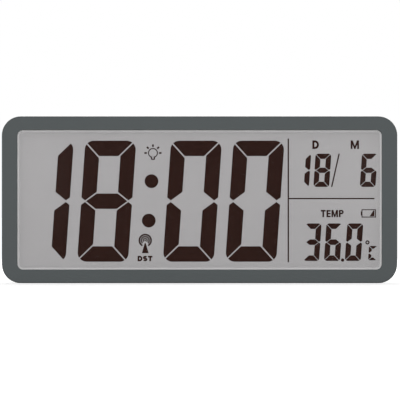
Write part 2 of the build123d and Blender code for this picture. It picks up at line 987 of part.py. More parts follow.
# Rear housing: back shell with the battery box, the stand's pocket and the antenna cradle
tube_radius = case_screw_head + head_fit + tube_wall
box_width = opening_width + 2 * battery_wall
box_bottom = opening_bottom - battery_wall
box_top = opening_top + battery_wall
pocket_block_width = pocket_width + 2 * pocket_side
pocket_block_top = pocket_top + pocket_wall
end_wall = battery_ledge + battery_wall
keyholes_at = [(side * keyhole_spacing / 2, case_height - keyhole_drop) for side in (-1, 1)]
with BuildPart() as rear_housing:
    with BuildSketch(facing(case_depth)):
        with Locations(case_centre):
            RectangleRounded(case_width, case_height, case_corner)
    extrude(amount=case_depth - bezel_depth)
    fillet(rear_housing.faces().sort_by(Axis.Y)[-1].edges(), back_edge)
    chamfer(rear_housing.faces().sort_by(Axis.Y)[0].edges(), part_line)
    with BuildSketch(facing(back_wall)):
        with Locations(case_centre):
            RectangleRounded(case_width - 2 * wall, case_height - 2 * wall, case_corner - wall)
    extrude(amount=back_wall - bezel_depth, mode=Mode.SUBTRACT)
    # Lip that locates the two shells, cut away round the bezel's bosses
    lip_inset = wall + slip + lip_thickness
    for inset, front, back in (
        (wall + slip, bezel_depth - lip_height, bezel_depth),
        (wall, bezel_depth, bezel_depth + lip_height),
    ):
        with BuildSketch(facing(back)):
            with Locations(case_centre):
                RectangleRounded(case_width - 2 * inset, case_height - 2 * inset, case_corner - inset)
                RectangleRounded(
                    case_width - 2 * lip_inset,
                    case_height - 2 * lip_inset,
                    case_corner - lip_inset,
                    mode=Mode.SUBTRACT,
                )
        extrude(amount=back - front)
    with BuildSketch(facing(bezel_depth)):
        with Locations(*case_screws_at):
            Circle(case_boss_radius + slip)
    extrude(amount=lip_height, mode=Mode.SUBTRACT)
    # Solid blocks inside the back wall
    with BuildSketch(facing(back_wall)):
        with Locations(*case_screws_at):
            Circle(tube_radius)
    extrude(amount=back_wall - bezel_depth)
    with BuildSketch(facing(back_wall)):
        with Locations((battery_x, (box_bottom + box_top) / 2)):
            Rectangle(box_width, box_top - box_bottom)
    extrude(amount=back_wall - floor_front)
    with BuildSketch(facing(back_wall)):
        with Locations((0, (wall + pocket_block_top) / 2)):
            Rectangle(pocket_block_width, pocket_block_top - wall)
    extrude(amount=back_wall - pocket_floor + pocket_wall)
    with BuildSketch(facing(back_wall)):
        with Locations((antenna_x - cradle_offset, antenna_z), (antenna_x + cradle_offset, antenna_z)):
            Rectangle(cradle_thickness, cradle_width)
    extrude(amount=back_wall - rod_axis)
    # Screw tubes
    with BuildSketch(facing(case_depth)):
        with Locations(*case_screws_at):
            Circle(case_screw_head + head_fit)
    extrude(amount=case_depth - bezel_depth - case_screw_shoulder, mode=Mode.SUBTRACT)
    with BuildSketch(facing(bezel_depth + case_screw_shoulder)):
        with Locations(*case_screws_at):
            Circle(case_screw_radius + slip)
    extrude(amount=case_screw_shoulder, mode=Mode.SUBTRACT)
    # Battery box, door opening, hinge trough and slots for the contact tabs
    with BuildSketch(facing(back_wall)):
        with Locations((battery_x, battery_height)):
            Rectangle(cavity_length, cavity_height)
    extrude(amount=back_wall - floor_back, mode=Mode.SUBTRACT)
    with BuildSketch(facing(case_depth)):
        with Locations((battery_x, (opening_bottom + opening_top) / 2)):
            Rectangle(opening_width, opening_top - opening_bottom)
    extrude(amount=wall, mode=Mode.SUBTRACT)
    with BuildSketch(facing(back_wall)):
        with Locations((battery_x, opening_bottom + hinge_strip / 2)):
            Rectangle(opening_width, hinge_strip)
    extrude(amount=back_wall - door_axis + door_barrel + part_gap, mode=Mode.SUBTRACT)
    with BuildSketch(Plane.YZ.offset(battery_x)):
        with Locations((deep(door_axis), door_hinge_z)):
            Circle(door_pin + pin_clearance)
    extrude(amount=opening_width / 2 + door_pin_length, both=True, mode=Mode.SUBTRACT)
    with BuildSketch(Plane.YZ.offset(cavity_left)):
        with Locations((deep(battery_axis), upper_cell_z), (deep(battery_axis), lower_cell_z)):
            Rectangle(tab_width + 2 * slip, contact_thickness + 2 * slip)
    extrude(amount=-end_wall, mode=Mode.SUBTRACT)
    with Locations((battery_x, deep(case_depth + scoop_radius - scoop_depth), opening_top)):
        Sphere(scoop_radius, mode=Mode.SUBTRACT)
    # Stand's pocket, open at the bottom, and the bores for its stub pins
    with BuildSketch(facing(case_depth)):
        with Locations((0, (pocket_top - wall) / 2)):
            Rectangle(pocket_width, pocket_top + wall)
    extrude(amount=case_depth - pocket_floor, mode=Mode.SUBTRACT)
    with BuildSketch(Plane.YZ):
        with Locations((deep(stand_axis), stand_hinge_height)):
            Circle(stand_pin + pin_clearance)
    extrude(amount=pocket_width / 2 + stand_pin_length, both=True, mode=Mode.SUBTRACT)
    # Antenna seat
    with BuildSketch(Plane.YZ.offset(antenna_x)):
        with Locations((deep(rod_axis), antenna_z)):
            Circle(rod_radius + rod_fit)
    extrude(amount=rod_length / 2, both=True, mode=Mode.SUBTRACT)
    # Holes through the back wall: keyholes, buttons and vents
    with BuildSketch(facing(case_depth)):
        with Locations(*keyholes_at):
            Circle(keyhole_radius)
        with Locations(*[(x, z + keyhole_rise / 2) for x, z in keyholes_at]):
            SlotCenterToCenter(keyhole_rise, keyhole_slot, rotation=90)
        with Locations(*button_places):
            RectangleRounded(
                button_width + 2 * part_gap, button_height + 2 * part_gap, button_corner + part_gap
            )
        with Locations((sensor_x, sensor_z)):
            with GridLocations(vent_pitch, vent_pitch, vent_count, 1):
                SlotOverall(vent_height, vent_width, rotation=90)
    extrude(amount=wall, mode=Mode.SUBTRACT)
    with BuildSketch(facing(case_depth)):
        with Locations(label_at):
            RectangleRounded(label_width, label_height, label_corner)
    extrude(amount=label_depth, mode=Mode.SUBTRACT)
save(rear_housing, "rear_housing")

case_screws = screws(
    case_screws_at,
    bezel_depth + case_screw_shoulder,
    case_screw_radius,
    case_screw_length,
    case_screw_head,
    case_screw_head_height,
)
save(case_screws, "case_screws")

# Stand: leg with a sunk finger grip, hinge barrel with stub pins, and a heel that meets the pocket's
# floor when open
heel_turn = radians(stand_angle)
heel_reach = stand_barrel + part_gap - stop_gap
heel_top_inner = (stand_heel * sin(heel_turn) - heel_reach) / cos(heel_turn)
heel_bend = (heel_reach - stand_barrel * cos(heel_turn)) / sin(heel_turn)
heel = [
    (stand_barrel, 0),
    (stand_barrel, stand_heel),
    (heel_top_inner, stand_heel),
    (-stand_barrel, heel_bend),
    (-stand_barrel, 0),
]
stand_length = stand_hinge_height - stand_foot
with BuildPart() as stand:
    with BuildSketch(facing(stand_back)):
        with Locations((0, stand_foot + stand_length / 2)):
            Rectangle(stand_width, stand_length)
    extrude(amount=stand_thickness)
    foot_corners = stand.edges().filter_by(Axis.Y).group_by(Axis.Z)[0]
    fillet(foot_corners, stand_corner)
    outer_rim = stand.faces().sort_by(Axis.Y)[-1].edges()
    fillet(outer_rim - outer_rim.group_by(Axis.Z)[-1], stand_edge)
    with BuildSketch(facing(stand_back)):
        with Locations((0, stand_foot + stand_grip_rise + stand_grip_height / 2)):
            RectangleRounded(stand_grip_width, stand_grip_height, grip_corner)
    extrude(amount=grip_depth, mode=Mode.SUBTRACT)
    with BuildSketch(Plane.YZ):
        with Locations((deep(stand_axis), stand_hinge_height)):
            Circle(stand_barrel)
        with BuildLine():
            Polyline(*[(deep(stand_axis) + y, stand_hinge_height + z) for y, z in heel], close=True)
        make_face()
    extrude(amount=stand_width / 2, both=True)
    with BuildSketch(Plane.YZ):
        with Locations((deep(stand_axis), stand_hinge_height)):
            Circle(stand_pin)
    extrude(amount=pocket_width / 2 + stand_pin_length - pin_end_gap, both=True)
save(stand, "stand")

# Battery door: cover with a sunk finger grip, hinge barrel with stub pins, and a catch rib at its
# free edge
door_width = opening_width - 2 * part_gap
door_top = opening_top - part_gap
with BuildPart() as battery_door:
    with BuildSketch(facing(door_back)):
        with Locations((battery_x, (door_hinge_z + door_top) / 2)):
            Rectangle(door_width, door_top - door_hinge_z)
    extrude(amount=door_back - back_wall)
    door_rim = battery_door.faces().sort_by(Axis.Y)[-1].edges()
    fillet(door_rim - door_rim.group_by(Axis.Z)[0], door_edge)
    with BuildSketch(facing(door_back)):
        with Locations((battery_x, door_top - door_grip_drop - door_grip_height / 2)):
            RectangleRounded(door_grip_width, door_grip_height, grip_corner)
    extrude(amount=grip_depth, mode=Mode.SUBTRACT)
    with BuildSketch(facing(back_wall)):
        with Locations((battery_x, cavity_top - part_gap - catch_thickness / 2)):
            Rectangle(catch_width, catch_thickness)
    extrude(amount=catch_length)
    with BuildSketch(Plane.YZ.offset(battery_x)):
        with Locations((deep(door_axis), door_hinge_z)):
            Circle(door_barrel)
    extrude(amount=door_width / 2, both=True)
    with BuildSketch(Plane.YZ.offset(battery_x)):
        with Locations((deep(door_axis), door_hinge_z)):
            Circle(door_pin)
    extrude(amount=opening_width / 2 + door_pin_length - pin_end_gap, both=True)
save(battery_door, "battery_door")

# Two AA cells, facing opposite ways
with BuildPart() as battery_cells:
    upper_body = cavity_left + contact_thickness + cell_nub
    lower_body = cavity_right - contact_thickness - cell_length
    body_length = cell_length - cell_nub
    for body_start, nub_start, z in (
        (upper_body, upper_body - cell_nub, upper_cell_z),
        (lower_body, lower_body + body_length, lower_cell_z),
    ):
        with BuildSketch(Plane.YZ.offset(body_start)):
            with Locations((deep(battery_axis), z)):
                Circle(cell_diameter / 2)
        extrude(amount=body_length)
        with BuildSketch(Plane.YZ.offset(nub_start)):
            with Locations((deep(battery_axis), z)):
                Circle(cell_nub_radius)
        extrude(amount=cell_nub)
    rims = battery_cells.edges().filter_by(GeomType.CIRCLE)
    fillet(rims.filter_by(lambda rim: rim.radius > cell_nub_radius + cell_edge), cell_edge)
save(battery_cells, "battery_cells")


def end_contact(z):
    """Contact plate on the box's inner end, with a solder tab out through the wall."""
    with BuildPart() as piece:
        with BuildSketch(Plane.YZ.offset(cavity_left)):
            with Locations((deep(battery_axis), z)):
                Rectangle(contact_size, contact_size)
        extrude(amount=contact_thickness)
        with BuildSketch(Plane.YZ.offset(tab_end)):
            with Locations((deep(battery_axis), z)):
                Rectangle(tab_width, contact_thickness)
        extrude(amount=cavity_left - tab_end)
    return piece


positive_contact = end_contact(upper_cell_z)
save(positive_contact, "positive_contact")
negative_contact = end_contact(lower_cell_z)
save(negative_contact, "negative_contact")
with BuildPart() as series_contact:
    with BuildSketch(Plane.YZ.offset(cavity_right - contact_thickness)):
        with Locations((deep(battery_axis), battery_height)):
            Rectangle(contact_size, upper_cell_z - lower_cell_z + contact_size)
    extrude(amount=contact_thickness)
save(series_contact, "series_contact")


def spring_state(turn, start, reach, z):
    """Point and direction on a cone spring's wire after some turns from its wide end."""
    share = turn / spring_turns
    radius = spring_wide + (spring_narrow - spring_wide) * share
    shrink = (spring_narrow - spring_wide) / spring_turns / (2 * pi)
    angle = 2 * pi * turn
    point = Vector(
        start + reach * share,
        deep(battery_axis) + radius * cos(angle),
        z + radius * sin(angle),
    )
    direction = Vector(
        reach / spring_turns / (2 * pi),
        shrink * cos(angle) - radius * sin(angle),
        shrink * sin(angle) + radius * cos(angle),
    )
    return point, direction.normalized()


def cone_spring(start, reach, z):
    """Cone spring wound on pairs of tangent arcs, a quarter turn to a pair."""
    quarters = 4 * spring_turns
    with BuildPart() as piece:
        with BuildLine() as route:
            for quarter in range(quarters):
                near, near_way = spring_state(quarter / 4, start, reach, z)
                far, far_way = spring_state((quarter + 1) / 4, start, reach, z)
                chord = far - near
                spread = 2 * (near_way.dot(far_way) - 1)
                lean = chord.dot(near_way + far_way)
                arm = (lean - sqrt(lean * lean - spread * chord.dot(chord))) / spread
                near_arm = near + near_way * arm
                far_arm = far - far_way * arm
                joint = (near_arm + far_arm) * 0.5
                TangentArc(near, joint, tangent=near_way)
                TangentArc(joint, far, tangent=far_arm - near_arm)
        first, first_way = spring_state(0, start, reach, z)
        with BuildSketch(Plane(origin=first, z_dir=first_way)):
            Circle(spring_wire_radius)
        sweep(path=route.wires()[0])
    return piece


def spring_gap(reach):
    """Least clear distance between a spring's turns, measured on points along its wire."""
    last = spring_samples * spring_turns
    points = [spring_state(i / spring_samples, 0, reach, 0)[0] for i in range(last + 1)]
    half_turn = spring_samples // 2
    pairs = [(points[i], points[j]) for i in range(last) for j in range(i + half_turn, last + 1)]
    return min((near - far).length for near, far in pairs) - 2 * spring_wire_radius


# Springs: one on the inner end for the lower cell, one on the outer end for the upper cell
spring_reach = spring_length - 2 * spring_wire_radius
print(f"Battery spring: {spring_gap(spring_reach):.2f} mm clear between its turns")
spring_start = contact_thickness + spring_wire_radius
lower_spring = cone_spring(cavity_left + spring_start, spring_reach, lower_cell_z)
upper_spring = cone_spring(cavity_right - spring_start, -spring_reach, upper_cell_z)
with BuildPart() as battery_springs:
    add(lower_spring.part)
    add(upper_spring.part)
save(battery_springs, "battery_springs")

# Leads from the contacts to the board, from the coil to the receiver, and from the lamps
pad_z = board_bottom + board_pad_rise


def supply_lead(z, out):
    """Lead from a contact's tab, out along the back and down onto the board."""
    x = tab_end - out
    points = [
        (tab_end, battery_axis, z),
        (x, battery_axis, z),
        (x, battery_axis, pad_z),
        (x, board_back, pad_z),
    ]
    return lead(points, battery_lead_bend, battery_lead)


positive_lead = supply_lead(upper_cell_z, battery_lead_out)
save(positive_lead, "positive_lead")
negative_lead = supply_lead(lower_cell_z, battery_lead_out + battery_lead_spacing)
save(negative_lead, "negative_lead")

coil_end = antenna_x + coil_length / 2
winding_radius = rod_radius + coil_fit + coil_wall / 2
receiver_bottom = receiver_centre[1] - receiver_height / 2


def coil_lead(angle, out):
    """Lead from the front of the coil's end, up to the receiver's lower edge."""
    x = coil_end + out
    depth = rod_axis - winding_radius * cos(radians(angle))
    z = antenna_z + winding_radius * sin(radians(angle))
    points = [(coil_end, depth, z), (x, depth, z), (x, depth, receiver_bottom)]
    return lead(points, antenna_lead_bend, antenna_lead)


first_coil_lead = coil_lead(antenna_lead_angle, antenna_lead_out)
second_coil_lead = coil_lead(0, antenna_lead_out + antenna_lead_spacing)
with BuildPart() as antenna_leads:
    add(first_coil_lead.part)
    add(second_coil_lead.part)
save(antenna_leads, "antenna_leads")


def lamp_wire(side):
    """Lead from a lamp board, back through the tray and along to the main board."""
    pad_x = board_width / 2 - lamp_pad_inset
    run = board_back + lamp_lead_height
    points = [
        (side * led_board_x, tray_front, lamp_pad_z),
        (side * led_board_x, run, lamp_pad_z),
        (side * pad_x, run, lamp_pad_z),
        (side * pad_x, board_back, lamp_pad_z),
    ]
    return lead(points, lamp_lead_bends, lamp_lead)


left_lamp_wire = lamp_wire(-1)
right_lamp_wire = lamp_wire(1)
with BuildPart() as backlight_leads:
    add(left_lamp_wire.part)
    add(right_lamp_wire.part)
save(backlight_leads, "backlight_leads")
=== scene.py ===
# %% [markdown]
# # A large liquid crystal clock
# This lesson dresses a wide, flat clock that hangs on a wall or leans on a fold-out leg. Its moulded
# frame, clear lens, display, circuit board, battery box, stand and buttons are already solids in a
# fixed frame: in metres, with +Z up and the display facing -Y. Blender adds what those solids can't
# say: the finish of every surface, the small signs in the display, the printing, ribs and raised
# marks on the back, and the wire of the antenna.

# %% Load the frame
import json
import math

import bmesh
import bpy
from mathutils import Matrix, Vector


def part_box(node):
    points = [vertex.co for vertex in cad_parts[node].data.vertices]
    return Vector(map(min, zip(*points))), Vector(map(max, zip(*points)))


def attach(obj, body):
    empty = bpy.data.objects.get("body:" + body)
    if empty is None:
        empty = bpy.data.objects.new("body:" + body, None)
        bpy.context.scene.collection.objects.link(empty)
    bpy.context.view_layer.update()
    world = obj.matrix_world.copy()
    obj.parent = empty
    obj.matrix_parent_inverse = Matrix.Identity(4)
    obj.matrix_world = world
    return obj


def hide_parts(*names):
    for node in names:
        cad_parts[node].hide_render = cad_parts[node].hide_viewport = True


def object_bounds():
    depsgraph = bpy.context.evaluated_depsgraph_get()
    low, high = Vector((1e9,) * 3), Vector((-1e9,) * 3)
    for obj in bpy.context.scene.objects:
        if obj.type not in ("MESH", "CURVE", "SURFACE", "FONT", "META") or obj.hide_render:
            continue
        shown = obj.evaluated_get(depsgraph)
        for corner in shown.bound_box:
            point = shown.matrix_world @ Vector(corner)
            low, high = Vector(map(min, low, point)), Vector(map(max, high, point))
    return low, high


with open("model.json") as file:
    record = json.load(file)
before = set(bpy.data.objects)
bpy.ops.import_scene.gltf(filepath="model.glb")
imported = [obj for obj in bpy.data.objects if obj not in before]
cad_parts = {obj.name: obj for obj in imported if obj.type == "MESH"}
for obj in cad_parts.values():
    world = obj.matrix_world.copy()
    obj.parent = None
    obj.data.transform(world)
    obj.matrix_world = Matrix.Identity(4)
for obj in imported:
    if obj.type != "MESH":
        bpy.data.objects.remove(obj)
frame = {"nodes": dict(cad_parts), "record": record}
nodes = frame["nodes"]
cad_box = [list(corner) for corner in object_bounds()]
MM = 0.001
print(len(nodes), "CAD nodes between", cad_box[0], "and", cad_box[1])

# %% [markdown]
# ## Camera
# The clock is seen square on, from so far away that it shows no perspective to speak of. An
# orthographic camera would do for this one picture, but a long lens also behaves when the clock is
# looked at from other sides, so an 800 mm lens is set back until the picture's width covers the real
# width that it should.

# %% The camera, square to the display
picture_width = 369.15 * MM
aim_right, aim_height = 0.41 * MM, 76.78 * MM
focal_length, sensor_width = 800.0, 36.0


def new_object(name, data):
    """An object at the origin for this data, linked into the scene."""
    thing = bpy.data.objects.new(name, data)
    bpy.context.scene.collection.objects.link(thing)
    return thing


camera_data = bpy.data.cameras.new("camera")
camera_data.lens = focal_length
camera_data.sensor_width = sensor_width
camera = new_object("camera", camera_data)
camera_distance = picture_width * focal_length / sensor_width
front_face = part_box("front_bezel")[0].y
camera.location = (aim_right, front_face - camera_distance, aim_height)
camera.rotation_euler = (math.radians(90), 0, 0)
bpy.context.scene.camera = camera
print("camera", round(camera_distance, 3), "m from the frame's face")

# %% [markdown]
# ## Nodes, the short way
# Materials, the world and Geometry Nodes are all node trees. One helper feeds a node: an input that is
# given a socket gets linked, and any other value is set on it. The next adds a node, sets its options
# and feeds it, and the rest are short names for the nodes that come up most.

# %% Helpers for every node tree and colour
def feed(tree, node, inputs):
    """Set a node's inputs, or link those that are given a socket."""
    for name, value in inputs.items():
        if isinstance(value, bpy.types.NodeSocket):
            tree.links.new(value, node.inputs[name])
        else:
            node.inputs[name].default_value = value


def add_node(tree, kind, inputs=None, **options):
    """Add a node to a tree, set its options, then feed its inputs."""
    node = tree.nodes.new(kind)
    for name, value in options.items():
        setattr(node, name, value)
    feed(tree, node, inputs or {})
    return node


def made(tree, kind, inputs=None, **options):
    """The first output of a node that is added in this way."""
    return add_node(tree, kind, inputs, **options).outputs[0]


def calculate(tree, operation, first, second=0.0, third=0.0):
    """The output of a Math node."""
    return made(tree, "ShaderNodeMath", {0: first, 1: second, 2: third}, operation=operation)


def own_place(tree):
    """The place on the piece itself, in Object coordinates."""
    return add_node(tree, "ShaderNodeTexCoord").outputs["Object"]


def axes_of(tree, vector):
    """A vector's X, Y and Z."""
    return add_node(tree, "ShaderNodeSeparateXYZ", {"Vector": vector}).outputs


def mix_shaders(tree, share, first, second):
    """The output of a Mix Shader."""
    return made(tree, "ShaderNodeMixShader", {0: share, 1: first, 2: second})


def start_material(name):
    """A new material with its tree and its Principled shader."""
    material = bpy.data.materials.new(name)
    material.use_nodes = True
    return material, material.node_tree, material.node_tree.nodes["Principled BSDF"]


def shade(red, green, blue):
    """A colour as it looks on a screen, 0 to 255 a channel, as the linear colour that shaders take."""
    def linear(level):
        level = level / 255
        return level / 12.92 if level <= 0.04045 else ((level + 0.055) / 1.055) ** 2.4
    return linear(red), linear(green), linear(blue), 1.0


print("middle grey is", round(shade(127, 127, 127)[0], 3), "in linear light")

# %% [markdown]
# ## Studio
# Two soft boxes stand in front, close to the line of sight so that the frame throws no shadow into
# the window, and three behind, for the clock's back and sides. The world gives the level fill light,
# but the camera's own rays, and mirrored or refracted ones, see it as plain white.

# %% World and soft boxes
fill_level = 0.4
plain_white = (1, 1, 1, 1)
soft_boxes = {
    "left": (16.9, 0.7, (-0.5, -2.4, 0.4)),
    "right": (16.9, 0.7, (0.5, -2.4, 0.4)),
    "rear": (36.0, 1.2, (0.0, 2.6, 1.5)),
    "left_rear": (17.0, 0.9, (-2.2, 1.5, 0.9)),
    "right_rear": (17.0, 0.9, (2.2, 1.5, 0.9)),
}


def looked_at(tree):
    """1 for the camera's rays and for mirrored or refracted ones, 0 for those that carry light."""
    seen = add_node(tree, "ShaderNodeLightPath").outputs
    mirrored = calculate(tree, "MAXIMUM", seen["Is Glossy Ray"], seen["Is Transmission Ray"])
    return calculate(tree, "MAXIMUM", seen["Is Camera Ray"], mirrored)


world = bpy.data.worlds.new("studio")
world.use_nodes = True
bpy.context.scene.world = world
tree = world.node_tree
white = made(tree, "ShaderNodeBackground", {"Color": plain_white, "Strength": 1.0})
fill = made(tree, "ShaderNodeBackground", {"Color": plain_white, "Strength": fill_level})
both = mix_shaders(tree, looked_at(tree), fill, white)
feed(tree, tree.nodes["World Output"], {"Surface": both})

clock_middle = (Vector(cad_box[0]) + Vector(cad_box[1])) / 2
for side, (power, size, place) in soft_boxes.items():
    lamp_data = bpy.data.lights.new(f"{side}_soft_box", "AREA")
    lamp_data.energy = power
    lamp_data.size = size
    lamp = new_object(f"{side}_soft_box", lamp_data)
    lamp.location = place
    lamp.rotation_euler = (clock_middle - Vector(place)).to_track_quat("-Z", "Y").to_euler()
bpy.context.scene.view_settings.view_transform = "Standard"
print(len(soft_boxes), "soft boxes")

# %% [markdown]
# The floor is pale and keeps the clock's shadow. A glow that only those same rays see lifts the lit
# part of it to white, less round the clock, where the shadow lies, than far away. The floor throws
# back less light than it shows, so that the clock is lit from in front and not from below.

# %% The floor
floor_size = 60.0
floor_tone, floor_bounce = 0.8, 0.4
near_glow, far_glow = 0.47, 0.75
near_reach, far_reach = 0.3, 1.5

half = floor_size / 2
floor_mesh = bpy.data.meshes.new("floor")
corners = [(-half, -half, 0), (half, -half, 0), (half, half, 0), (-half, half, 0)]
floor_mesh.from_pydata(corners, [], [(0, 1, 2, 3)])
floor = new_object("floor", floor_mesh)
paper, tree, surface = start_material("studio_paper")
plainly = looked_at(tree)
away = add_node(tree, "ShaderNodeVectorMath", {0: own_place(tree)}, operation="LENGTH")
level = add_node(tree, "ShaderNodeMapRange", {
    "Value": away.outputs["Value"], "From Min": near_reach, "From Max": far_reach,
    "To Min": near_glow, "To Max": far_glow,
}).outputs["Result"]
feed(tree, surface, {
    "Base Color": calculate(tree, "MULTIPLY_ADD", plainly, floor_tone - floor_bounce, floor_bounce),
    "Roughness": 0.9, "Specular IOR Level": 0.0,
    "Emission Color": plain_white, "Emission Strength": calculate(tree, "MULTIPLY", plainly, level),
})
floor_mesh.materials.append(paper)
print("a floor", floor_size, "m across")

# %% [markdown]
# ## Surface effects that several finishes share
# A moulded surface is never one flat colour: the tool's spark-eroded skin gives a fine grain, and the
# colour drifts a little across a large panel. That is one node group, with the colour, the size of
# the grain, the drift and the roughness as inputs. Rolled, drawn and brushed surfaces have streaks in
# one direction instead, which is the second group. Both read Object coordinates, so that a pattern
# stays on its piece when the piece moves.

# %% What the two effects have in common
effect_inputs = {
    "Colour": ("NodeSocketColor", (0.5, 0.5, 0.5, 1)),
    "Grain mm": ("NodeSocketFloat", 0.5),
    "Spread": ("NodeSocketFloat", 0.1),
    "Roughness": ("NodeSocketFloat", 0.5),
}
effect_outputs = {
    "Colour": "NodeSocketColor", "Roughness": "NodeSocketFloat", "Height": "NodeSocketFloat",
}


def start_effect(name):
    """A shader group with an effect's sockets: its tree, its inputs and how many grains a metre has."""
    tree = bpy.data.node_groups.new(name, "ShaderNodeTree")
    for label, (kind, value) in effect_inputs.items():
        tree.interface.new_socket(label, in_out="INPUT", socket_type=kind).default_value = value
    for label, kind in effect_outputs.items():
        tree.interface.new_socket(label, in_out="OUTPUT", socket_type=kind)
    given = tree.nodes.new("NodeGroupInput").outputs
    return tree, given, calculate(tree, "DIVIDE", 1 / MM, given["Grain mm"])


def noise(tree, place, scale, detail):
    """The value of a Noise node, between 0 and 1."""
    return made(tree, "ShaderNodeTexNoise", {"Vector": place, "Scale": scale, "Detail": detail})


def around_one(tree, pattern, spread):
    """A value that varies about 1 within the spread, from a pattern between 0 and 1."""
    return calculate(tree, "MULTIPLY_ADD", calculate(tree, "SUBTRACT", pattern, 0.5), spread, 1.0)


def end_effect(tree, given, tones, grain, rough_spread):
    """Vary the colour by the tones and the roughness by the grain, which is the height too."""
    tinted = {0: given["Colour"], "Scale": around_one(tree, tones, given["Spread"])}
    worn = around_one(tree, grain, rough_spread)
    add_node(tree, "NodeGroupOutput", {
        "Colour": made(tree, "ShaderNodeVectorMath", tinted, operation="SCALE"),
        "Roughness": calculate(tree, "MULTIPLY", given["Roughness"], worn),
        "Height": grain,
    })
    return tree


print("an effect takes", ", ".join(effect_inputs), "and gives", ", ".join(effect_outputs))

# %% The two effect groups
fine_share, drift_per_metre = 0.4, 24.0
streak_stretch = (0.04, 1.0, 1.0)


def build_moulded_skin():
    """Fine grain and a slow drift of tone, the same in every direction."""
    tree, given, per_metre = start_effect("moulded_skin")
    place = own_place(tree)
    fine = noise(tree, place, per_metre, 2.0)
    drift = calculate(tree, "MULTIPLY", noise(tree, place, drift_per_metre, 3.0), 1 - fine_share)
    return end_effect(tree, given, calculate(tree, "MULTIPLY_ADD", fine, fine_share, drift), fine, 0.3)


def build_drawn_streaks():
    """Streaks that run along X, as rolling, drawing or brushing leaves them."""
    tree, given, per_metre = start_effect("drawn_streaks")
    long = made(tree, "ShaderNodeMapping", {"Vector": own_place(tree), "Scale": streak_stretch})
    lines = noise(tree, long, per_metre, 3.0)
    return end_effect(tree, given, lines, lines, 0.5)


moulded_skin = build_moulded_skin()
drawn_streaks = build_drawn_streaks()
print("effects:", moulded_skin.name, "and", drawn_streaks.name)

# %% [markdown]
# ## A plain finish
# Most of the clock is plastic, rubber, film or metal, and these differ only in their colour, their
# grain and their shine. One function builds such a material round either effect: the effect varies
# the colour and the roughness, and its height becomes a shallow bump of a real depth.

# %% One function for moulded, rolled and drawn surfaces
def cover(tree, shader, effect, values):
    """Give a shader an effect's colour and roughness, and return the effect's height."""
    skin = add_node(tree, "ShaderNodeGroup", values, node_tree=effect).outputs
    feed(tree, shader, {"Base Color": skin["Colour"], "Roughness": skin["Roughness"]})
    return skin["Height"]


def plain_finish(name, colour, effect, grain, spread, roughness, relief, metallic=0.0, specular=0.5):
    """A finish with the effect's variation. Grain and relief are in millimetres."""
    material, tree, shader = start_material(name)
    height = cover(tree, shader, effect, {
        "Colour": colour, "Grain mm": grain, "Spread": spread, "Roughness": roughness,
    })
    depth = {"Strength": 1.0, "Distance": relief * MM, "Height": height}
    bump = made(tree, "ShaderNodeBump", depth)
    feed(tree, shader, {"Normal": bump, "Metallic": metallic, "Specular IOR Level": specular})
    return material


def moulded(name, colour, grain=0.5, spread=0.08, roughness=0.55, relief=0.006, specular=0.25):
    """Moulded plastic, resin, rubber or ceramic."""
    return plain_finish(name, colour, moulded_skin, grain, spread, roughness, relief, specular=specular)


def drawn_metal(name, colour, grain=0.25, spread=0.25, roughness=0.3, relief=0.002):
    """Rolled, drawn or plated metal."""
    return plain_finish(name, colour, drawn_streaks, grain, spread, roughness, relief, metallic=1.0)


def rolled_film(name, colour, grain=0.6, spread=0.05, roughness=0.4, relief=0.001, specular=0.3):
    """A film or tape that was rolled out."""
    return plain_finish(name, colour, drawn_streaks, grain, spread, roughness, relief, specular=specular)


print("a moulded surface starts from", moulded.__defaults__)

# %% The plain finishes
grained = dict(grain=0.8, relief=0.015, specular=0.15)
sleeve = dict(grain=0.3, roughness=0.4)
plain_finishes = {
    "bezel_plastic": (moulded, (82, 87, 88), dict(spread=0.05, specular=0.12)),
    "housing_plastic": (moulded, (78, 83, 84), grained),
    "stand_plastic": (moulded, (74, 79, 80), grained),
    "door_plastic": (moulded, (76, 81, 82), grained),
    "button_plastic": (moulded, (58, 61, 62), dict(grain=0.3, roughness=0.42)),
    "plunger_plastic": (moulded, (205, 203, 196), dict(grain=0.3)),
    "foam_tape": (moulded, (236, 236, 232), dict(grain=0.2, roughness=0.9, relief=0.03)),
    "foam_gasket": (moulded, (40, 40, 41), dict(grain=0.3, roughness=0.95, relief=0.05)),
    "cell_sealant": (moulded, (150, 146, 128), dict(grain=0.4, roughness=0.4)),
    "dark_segments": (moulded, (52, 34, 30), dict(grain=0.9, spread=0.1, specular=0.0)),
    "silver_film": (rolled_film, (222, 224, 226), dict(roughness=0.3)),
    "lamp_resin": (moulded, (240, 214, 120), dict(grain=0.2, roughness=0.3)),
    "lead_sleeve": (moulded, (226, 226, 222), sleeve),
    "red_sleeve": (moulded, (176, 34, 30), sleeve),
    "black_sleeve": (moulded, (34, 34, 35), sleeve),
    "tray_plastic": (moulded, (214, 213, 208), {}),
    "screw_steel": (drawn_metal, (176, 176, 172), {}),
    "black_resin": (moulded, (30, 30, 31), dict(grain=1.5, roughness=0.25, relief=0.03)),
    "can_steel": (drawn_metal, (196, 196, 198), dict(roughness=0.25)),
    "capacitor_can": (moulded, (38, 52, 92), dict(roughness=0.35)),
    "chip_ceramic": (moulded, (168, 140, 104), dict(grain=0.3, roughness=0.6)),
    "sensor_resin": (moulded, (34, 40, 52), dict(grain=0.4, roughness=0.3)),
    "header_plastic": (moulded, (36, 36, 38), dict(grain=0.4)),
    "ferrite": (moulded, (62, 58, 56), dict(grain=0.25, spread=0.3, roughness=0.75, relief=0.02)),
    "copper_winding": (drawn_metal, (186, 104, 62), dict(roughness=0.35)),
    "switch_plastic": (moulded, (46, 46, 48), dict(grain=0.4)),
    "contact_steel": (drawn_metal, (206, 204, 198), dict(roughness=0.22)),
}
finishes = {
    name: make(name, shade(*colour), **details)
    for name, (make, colour, details) in plain_finishes.items()
}
print(len(finishes), "plain finishes")

